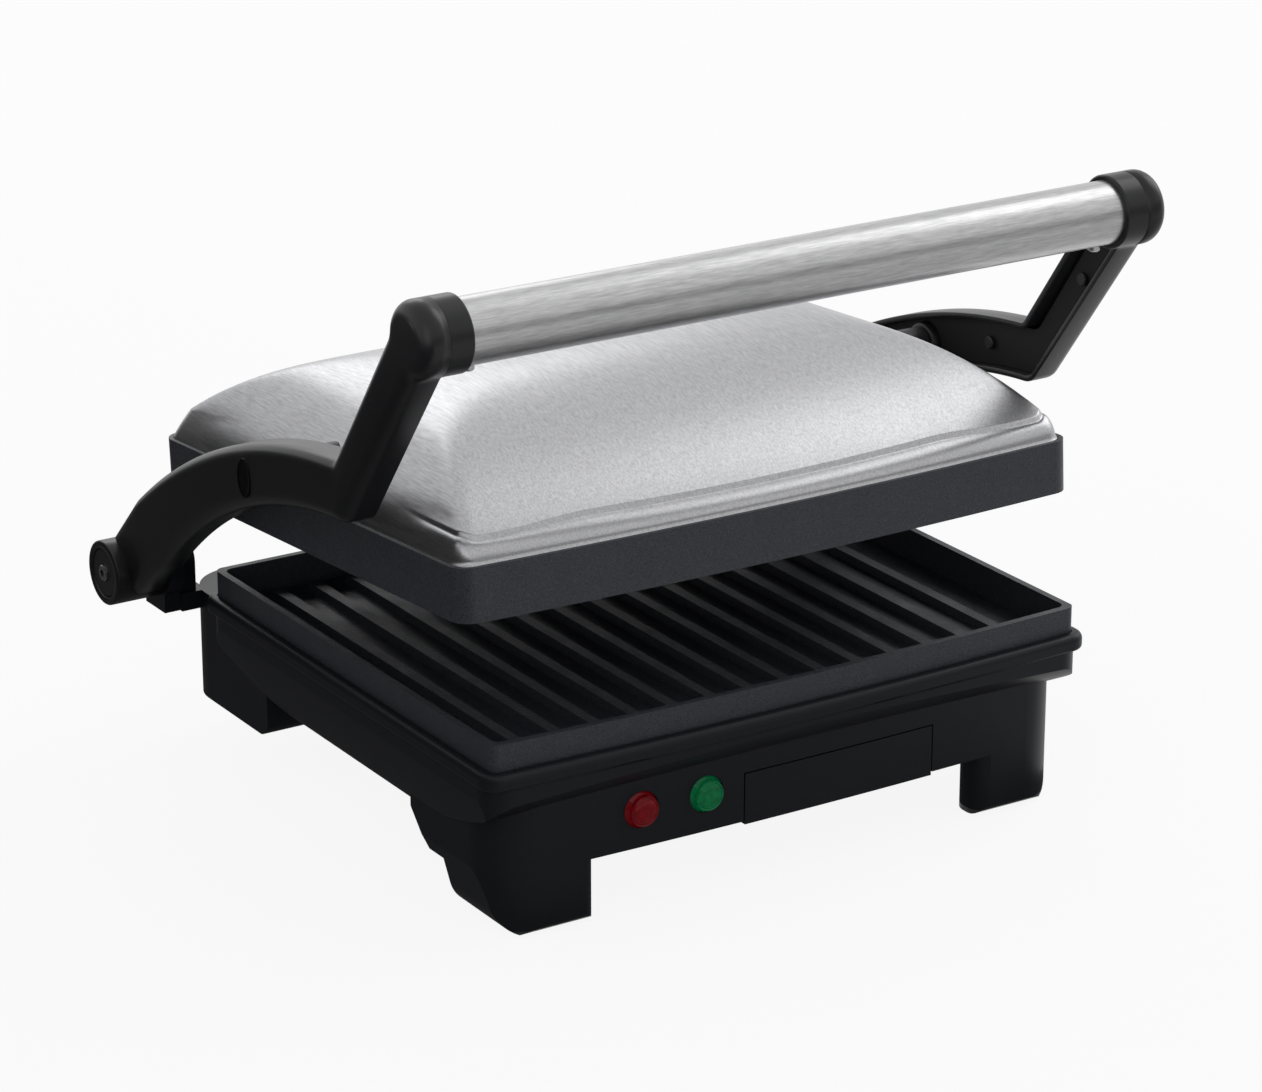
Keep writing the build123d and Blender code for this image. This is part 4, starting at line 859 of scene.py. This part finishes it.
@dataclass
class Light:
    """One indicator lens: a collar round a low dome, its face cut in small prisms."""

    node: str
    finish: Finish
    prism: float = 0.0
    pitch: float = 1.1 * MM
    dome: float = 0.72
    dome_rise: float = 0.9 * MM
    dome_lift: float = 0.15 * MM
    cut: float = 0.65
    around: int = 96

    def rings(self) -> tuple[np.ndarray, np.ndarray]:
        """Section of the lens: flange behind the wall, collar, shallow groove and dome.

        Returns:
            Share of the radius and height of each ring, as columns.
        """
        flange = [(1.0, -3.2), (1.0, -2.6), (0.85, -2.5)]
        collar = [(0.84, 0.25), (0.82, 0.5), (0.79, 0.55)]
        groove = [(0.76, 0.35), (0.735, 0.1), (self.dome, 0.1)]
        rim = np.array(flange + collar + groove)
        share = np.linspace(self.dome - 0.015, 0.0, 22)
        dome = self.dome_rise * np.sqrt(1 - (share / self.dome) ** 2) + self.dome_lift
        return np.concatenate([rim[:, 0], share])[:, None], np.concatenate([rim[:, 1] * MM, dome])[:, None]

    def build(self) -> None:
        """Build and dress the lens.

        Rings are circles about the node's own middle. Prisms add the product of two sine waves
        across the dome.
        """
        low, high = (np.array(corner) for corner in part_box(self.node))
        radius = (high[0] - low[0]) / 2
        middle = (low + high) / 2
        share, height = self.rings()
        turn = np.linspace(0.0, 2 * np.pi, self.around, endpoint=False)[None]
        x = share * radius * np.sin(turn)
        z = share * radius * np.cos(turn)
        waves = np.sin(2 * np.pi * (x + z) / self.pitch) * np.sin(2 * np.pi * (x - z) / self.pitch)
        lift = height + np.where(share < self.cut, self.prism * waves, 0.0)
        y = low[1] + height.max() + self.prism - lift
        points = np.stack([middle[0] + x, y, middle[2] + z], -1)
        piece = surface(f"{self.node}_face", Patch(points[:, ::-1], last_pole=True))
        settle(piece, "base", self.finish, self.node)


@dataclass
class DripTray:
    """Sliding fat tray with its front panel."""

    def build(self) -> None:
        """Dress the tray."""
        dress_nodes(HOUSING, "drip_tray")


# ------ arms
@dataclass(frozen=True)
class ArmEdge:
    """One long edge of an arm in the side plane, measured back and up from the hinge."""

    way: int
    centre: Pair
    radius: float
    span: Pair
    upright: float
    elbow_round: float


@dataclass
class Arm:
    """One arm: a curved bar from the hinge to an elbow, then a straight upright to the handle.

    Places are measured across from the middle of the press, and back and up from the hinge.
    """

    side: Side
    inner: float = 157.5 * MM
    outer: float = 172.5 * MM
    seat: float = 161.45 * MM
    tube: Pair = (-253.0 * MM, 168.5 * MM)
    top: ArmEdge = ArmEdge(
        1, (-220.4 * MM, -223.9 * MM), 330.2 * MM, (-18.5 * MM, -193.0 * MM), 14.8 * MM, 4.0 * MM
    )
    low: ArmEdge = ArmEdge(
        -1, (-214.0 * MM, -183.0 * MM), 263.9 * MM, (-35.1 * MM, -200.0 * MM), -12.5 * MM, 10.0 * MM
    )
    heel: float = 13.5 * MM
    heel_start: float = -0.95
    barrel: float = 15.2 * MM
    neck_round: float = 8.0 * MM
    crest: float = np.radians(126.8)
    edge: float = 6.0 * MM
    wall: float = 2.6 * MM
    lip: float = 0.5 * MM
    crown: float = 0.5 * MM
    full_width: float = 30.0 * MM
    # the hinge's boss and the pivot's hub
    boss_start: float = 154.8 * MM
    boss_end: float = 178.5 * MM
    boss_radius: float = 14.0 * MM
    boss_round: float = 1.0 * MM
    cap_floor: float = 175.5 * MM
    cap_bore: float = 10.65 * MM
    screw_end: float = 170.9 * MM
    screw_bore: float = 2.05 * MM
    pin_end: float = 170.0 * MM
    pin_bore: float = 4.3 * MM
    hub_radius: float = 9.0 * MM
    chamfer: float = 0.3 * MM
    bevel: float = 0.4 * MM
    # half axes and seat of the near-black oval over the pivot, a painted shade of the hole there
    shade_oval: Pair = (5.2 * MM, 7.9 * MM)
    shade_seat: float = 0.46 * MM

    def flank(self, edge: ArmEdge) -> list[np.ndarray]:
        """One long edge of the arm, cut where its shape changes.

        From the hinge's far side: round the heel, a straight line, a long arc, the elbow's rounding, a
        straight line, the neck's hollow rounding and half the barrel.

        Args:
            edge: The upper and rear edge, or the lower and front one.

        Returns:
            Seven runs of points.
        """
        tube, centre = np.array(self.tube), np.array(edge.centre)
        angles = np.arccos((np.array(edge.span) - centre[0]) / edge.radius)
        begin, corner = arc(edge.centre, edge.radius, angles[0], angles[1], 2)
        # where the line behind the curve touches the heel
        far = np.arctan2(begin[1], begin[0]) - edge.way * np.arccos(self.heel / np.hypot(*begin))
        touch = self.heel * np.array([np.cos(far), np.sin(far)])
        heel = arc((0.0, 0.0), self.heel, self.heel_start, far if edge.way > 0 else far - 2 * np.pi, 14)
        # the elbow's rounding, between the curve's end and the upright
        along = tube + np.array([edge.upright, 0.0]) - corner
        along /= np.hypot(*along)
        back = np.array([np.sin(angles[1]), -np.cos(angles[1])])
        half = np.arccos(np.clip(back @ along, -1.0, 1.0)) / 2
        trim = edge.elbow_round / np.tan(half)
        inward = (back + along) / np.hypot(*(back + along))
        middle = corner + inward * edge.elbow_round / np.sin(half)
        start, end = corner + back * trim, corner + along * trim
        # the hollow rounding between the upright and the barrel
        out = np.array([along[1], -along[0]]) * edge.way
        offset = (tube - corner) @ out
        reach = (self.barrel + self.neck_round) ** 2 - (self.neck_round - offset) ** 2
        foot = corner + along * ((tube - corner) @ along - np.sqrt(reach))
        hollow = foot + out * self.neck_round
        leave = np.arctan2(*(hollow - tube)[::-1])
        turn = (self.crest - leave + np.pi) % (2 * np.pi) - np.pi
        return [
            heel,
            touch + (begin - touch) * np.linspace(0.0, 1.0, 10)[:, None],
            arc(edge.centre, edge.radius, angles[0], angles[1] - trim / edge.radius, 90),
            swing(middle, edge.elbow_round, start, end, 14),
            end + (foot - end) * np.linspace(0.0, 1.0, 40)[:, None],
            swing(hollow, self.neck_round, foot, tube, 12),
            arc(self.tube, self.barrel, leave, leave + turn, 26),
        ]

    def rows(self, edge: ArmEdge) -> tuple[np.ndarray, np.ndarray]:
        """An edge's points and the directions from them into the arm.

        At both ends they point to the heel's or the barrel's middle, so that the edges meet there.

        Args:
            edge: Which edge.

        Returns:
            Two arrays of the same shape.
        """
        runs = self.flank(edge)
        line = np.vstack([runs[0]] + [run[1:] for run in runs[1:]])
        ahead = np.gradient(line, axis=0)
        inward = np.stack([-ahead[:, 1], ahead[:, 0]], -1) * edge.way
        inward[0] = -line[0]
        inward[-1] = np.array(self.tube) - line[-1]
        return line, inward / np.linalg.norm(inward, axis=1, keepdims=True)

    def half(self, edge: ArmEdge) -> np.ndarray:
        """Half sections along one edge, from the pocket's floor to the outer face.

        A half section goes up over the rim and the side wall, and round a quarter circle.

        Args:
            edge: Which edge.

        Returns:
            Array of sections by points by three.
        """
        line, inward = self.rows(edge)
        turn = np.linspace(0.0, np.pi / 2, 9)[1:]
        side = self.outer - self.inner - self.edge
        wall, lip = self.wall, self.lip
        hollow = [[wall, 0.0], [wall, 0.7 * lip], [wall - self.bevel, 0.0]]
        rim = np.array(hollow + [[lip, 0.0], [0.3 * lip, 0.3 * lip], [0.0, lip], [0.0, side - 0.2 * lip]])
        quarter = np.stack([self.edge * (1 - np.cos(turn)), side + self.edge * np.sin(turn)], -1)
        inset, depth = np.vstack([rim, quarter]).T
        flat = line[:, None] + inward[:, None] * inset[None, :, None]
        x = np.broadcast_to(self.inner + depth, flat.shape[:2]).copy()
        seated = np.hypot(*(line - np.array(self.tube)).T) < self.barrel + self.chamfer
        low = slice(1, len(rim))
        x[:, low] = np.where(seated[:, None], np.maximum(x[:, low], self.seat), x[:, low])
        x[:, 0] = self.outer - self.wall
        return np.concatenate([x[..., None], flat], -1)

    def bar(self, hinge: np.ndarray) -> Patch:
        """The whole bar as one closed surface.

        Each row goes up one half section, over the slightly crowned outer face and down the other.

        Args:
            hinge: The hinge's place.

        Returns:
            The patch.
        """
        over, under = self.half(self.top), self.half(self.low)
        share = np.linspace(0.0, 1.0, 16)[1:-1]
        face = over[:, -1:, :] * (1 - share)[None, :, None] + under[:, -1:, :] * share[None, :, None]
        width = np.linalg.norm(over[:, -1] - under[:, -1], axis=-1) / self.full_width
        lift = self.crown * np.clip(width, 0.0, 1.0)
        face[..., 0] += lift[:, None] * (1 - (2 * share[None] - 1) ** 2)
        loop = np.concatenate([over, face, under[:, ::-1]], 1)
        loop[..., 1:] += hinge[1:]
        loop[..., 0] *= self.side.value
        return Patch(loop[:, ::-1] if self.side is Side.RIGHT else loop)

    def boss(self, hinge: np.ndarray) -> Patch:
        """Boss round the hinge, with a seat for its cap and a bore for the pin."""
        start, end, rim, cap = self.boss_start, self.boss_end, self.boss_radius, self.cap_bore
        screw = [[self.screw_end, 0.0], [self.screw_end, self.screw_bore], [self.cap_floor, self.screw_bore]]
        seat = [[self.cap_floor, cap], [end - self.chamfer, cap], [end, cap + self.chamfer]]
        corner = arc((end - self.boss_round, rim - self.boss_round), self.boss_round, 0.0, np.pi / 2, 5)
        foot = [[start + self.bevel, rim], [start, rim - self.bevel]]
        bore = [[start, self.pin_bore], [self.pin_end, self.pin_bore], [self.pin_end, 0.0]]
        profile = np.vstack([screw, seat, corner, foot, bore])
        return lathe(profile, hinge, 96, self.side)

    def pivot_hub(self, pivot: np.ndarray) -> Patch:
        """Hub round the lid's pivot pin, inside the arm."""
        floor, rim = self.outer - self.wall, self.hub_radius
        deep = floor - self.chamfer
        wall = [[floor, 0.0], [floor, rim], [self.inner + self.bevel, rim], [self.inner, rim - self.bevel]]
        bore = [[self.inner, self.pin_bore], [deep, self.pin_bore], [deep, 0.0]]
        return lathe(np.array(wall + bore), pivot, 64, self.side)

    def hole_shade_disc(self, pivot: np.ndarray) -> bpy.types.Object:
        """Near-black oval over the pivot, a painted shade that stands for the deep hole there, with a thin
        raised lip.

        Rings shrink from the lip to the middle as ellipses.
        """
        share = np.array([1.05, 1.03, 1.0, 0.96, 0.93, 0.6, 0.0])[:, None]
        rise = np.array([-0.5, 0.08, 0.16, 0.12, 0.03, 0.03, 0.03])[:, None] * MM
        turn = np.linspace(0.0, 2 * np.pi, 64, endpoint=False)[None] * self.side.value
        y = pivot[1] + self.shade_oval[0] * share * np.cos(turn)
        z = pivot[2] + self.shade_oval[1] * share * np.sin(turn)
        x = (self.outer + self.shade_seat + rise + 0 * turn) * self.side.value
        points = np.stack([x, y, z], -1)
        return surface(f"{self.side.name.lower()}_pivot_hole_shade", Patch(points, last_pole=True))

    def build(self) -> None:
        """Build and dress the arm."""
        word = self.side.name.lower()
        hinge, pivot = joint_place("press"), joint_place("lid_level_a")
        patches = self.bar(hinge), self.boss(hinge), self.pivot_hub(pivot)
        piece = surface(f"{word}_arm", *patches, weld=True)
        settle(piece, "arms", ARM, f"{word}_arm_shell")
        # the hole over the pivot is a near-black oval of painted shade
        settle(self.hole_shade_disc(pivot), "arms", HOLE_SHADE)


@dataclass
class Arms:
    """Two arms, their covers and caps, and the handle between them."""

    def build(self) -> None:
        """Build the arms; dress their covers and the handle."""
        for side in Side:
            word = side.name.lower()
            Arm(side).build()
            dress_nodes(ARM, f"{word}_hinge_cap", f"{word}_ferrule")
            dress_nodes(COVER, f"{word}_arm_cover")
            dress_nodes(PIN, f"{word}_hinge_pin")
            dress_nodes(BLACK_PIN, f"{word}_pivot_pin")
        dress_nodes(BLACK_SCREW, "arm_cover_screws")
        dress_nodes(SCREW, "hinge_cap_screws", "handle_screws")
        dress_nodes(TUBE_STEEL, "handle_tube")


# ------ studio
@dataclass
class Studio:
    """Camera, pale floor, soft lamps and a white surround."""

    camera_at: Place = (-0.916435, -1.450108, 0.727674)
    look: Place = (0.5038, 0.7922, -0.3443)
    lens: float = 124.28
    aim: Place = (0.0, 0.0, 0.1)
    floor_size: float = 6.0
    floor_glow: float = 0.9
    surround: float = 0.55

    def camera(self) -> None:
        """Stand the camera and make it the scene's own."""
        data = bpy.data.cameras.new("camera")
        data.sensor_width = 36.0
        data.lens = self.lens
        data.clip_start = 0.05
        data.clip_end = 50.0
        made = bpy.data.objects.new("camera", data)
        bpy.context.scene.collection.objects.link(made)
        back = -Vector(self.look).normalized()
        right = Vector((0.0, 0.0, 1.0)).cross(back).normalized()
        up = back.cross(right)
        turn = Matrix((right, up, back)).transposed().to_4x4()
        made.matrix_world = Matrix.Translation(self.camera_at) @ turn
        bpy.context.scene.camera = made

    def lamp(self, name: str, at: Place, size: Pair, power: float) -> None:
        """Hang a rectangular soft lamp that faces the press.

        Args:
            name: Name of the lamp.
            at: Where it hangs.
            size: Width and height.
            power: Watts.
        """
        data = bpy.data.lights.new(name, "AREA")
        data.shape = "RECTANGLE"
        data.size, data.size_y = size
        data.energy = power
        made = bpy.data.objects.new(name, data)
        made.location = at
        made.rotation_euler = (Vector(self.aim) - Vector(at)).to_track_quat("-Z", "Y").to_euler()
        bpy.context.scene.collection.objects.link(made)

    def white_rays(self, tree: bpy.types.NodeTree) -> bpy.types.NodeSocket:
        """Share that is 1 for camera, glossy and transmission rays.

        Args:
            tree: Node tree to add to.

        Returns:
            Value socket.
        """
        path = tree.nodes.new("ShaderNodeLightPath")
        total = path.outputs["Is Camera Ray"]
        for name in ("Is Glossy Ray", "Is Transmission Ray"):
            both = tree.nodes.new("ShaderNodeMath")
            both.operation = "MAXIMUM"
            tree.links.new(total, both.inputs[0])
            tree.links.new(path.outputs[name], both.inputs[1])
            total = both.outputs[0]
        return total

    def world(self) -> None:
        """Even surround: white where it is seen, gentler where it lights."""
        world = bpy.data.worlds.new("surround")
        bpy.context.scene.world = world
        world.use_nodes = True
        tree = world.node_tree
        tree.nodes.clear()
        output = tree.nodes.new("ShaderNodeOutputWorld")
        mix = tree.nodes.new("ShaderNodeMixShader")
        tree.links.new(self.white_rays(tree), mix.inputs[0])
        for place, strength in ((1, self.surround), (2, 1.0)):
            light = tree.nodes.new("ShaderNodeBackground")
            light.inputs["Color"].default_value = WHITE
            light.inputs["Strength"].default_value = strength
            tree.links.new(light.outputs[0], mix.inputs[place])
        tree.links.new(mix.outputs[0], output.inputs["Surface"])

    def floor(self) -> None:
        """Pale floor that keeps a soft shadow."""
        made = rectangle("floor", self.floor_size, self.floor_size)
        graph = Graph("pale_floor")
        graph.set(Base_Color=(0.86, 0.86, 0.86, 1.0), Roughness=0.9, Specular_IOR_Level=0.1)
        glow = graph.node("Emission", Strength=1.0)
        glow.inputs["Color"].default_value = WHITE
        mix = graph.node("MixShader")
        share = graph.node("Math", operation="MULTIPLY")
        graph.link(self.white_rays(graph.tree), share.inputs[0])
        share.inputs[1].default_value = self.floor_glow
        graph.link(share.outputs[0], mix.inputs[0])
        graph.link(graph.shader.outputs[0], mix.inputs[1])
        graph.link(glow.outputs[0], mix.inputs[2])
        graph.link(mix.outputs[0], graph.output.inputs["Surface"])
        made.data.materials.append(graph.material)

    def card(self, name: str, at: Place, towards: Place, size: Pair, shade: float) -> None:
        """Stand a dark card that shows in reflections alone.

        Args:
            name: Name of the card.
            at: Its middle.
            towards: Point that it faces.
            size: Width and height.
            shade: Its grey.
        """
        made = rectangle(name, *size)
        turn = (Vector(towards) - Vector(at)).to_track_quat("Z", "Y").to_matrix().to_4x4()
        made.matrix_world = Matrix.Translation(at) @ turn
        graph = Graph(name)
        graph.set(Base_Color=(0.0, 0.0, 0.0, 1.0), Roughness=1.0, Specular_IOR_Level=0.0)
        graph.set(Emission_Color=(shade, shade, shade, 1.0), Emission_Strength=1.0)
        made.data.materials.append(graph.material)
        for ray in ("camera", "diffuse", "shadow", "transmission"):
            setattr(made, f"visible_{ray}", False)

    def build(self) -> None:
        """Set the stage."""
        scene = bpy.context.scene
        scene.view_settings.view_transform = "Standard"
        self.camera()
        self.world()
        self.floor()
        self.card("card_left", (-0.28, 0.2, 0.12), (0.0, 0.2, 0.12), (2.0, 0.24), 0.05)
        self.card("card_front", (0.6, -1.7, 0.35), (0.0, 0.0, 0.35), (4.0, 0.7), 0.4)
        self.card("card_low", (0.35, -0.5, 0.003), (0.35, -0.5, 1.0), (1.6, 0.7), 0.65)
        self.card("card_side", (-0.2, 0.3, 0.003), (-0.2, 0.3, 1.0), (0.7, 1.2), 0.1)
        self.lamp("overhead", (1.75, 0.1, 1.5), (1.2, 1.7), 12.0)
        self.lamp("front_left", (-1.6, -1.3, 0.9), (1.2, 1.2), 2.5)
        self.lamp("rear", (0.45, 1.75, 1.15), (1.2, 0.7), 5.0)


def main() -> None:
    """Build every sub-assembly, then the studio."""
    logging.basicConfig(level=logging.INFO, format="%(name)s: %(message)s")
    for part in (Base(), DripTray(), Arms(), Lid(), Studio()):
        part.build()


if __name__ == "__main__":
    main()
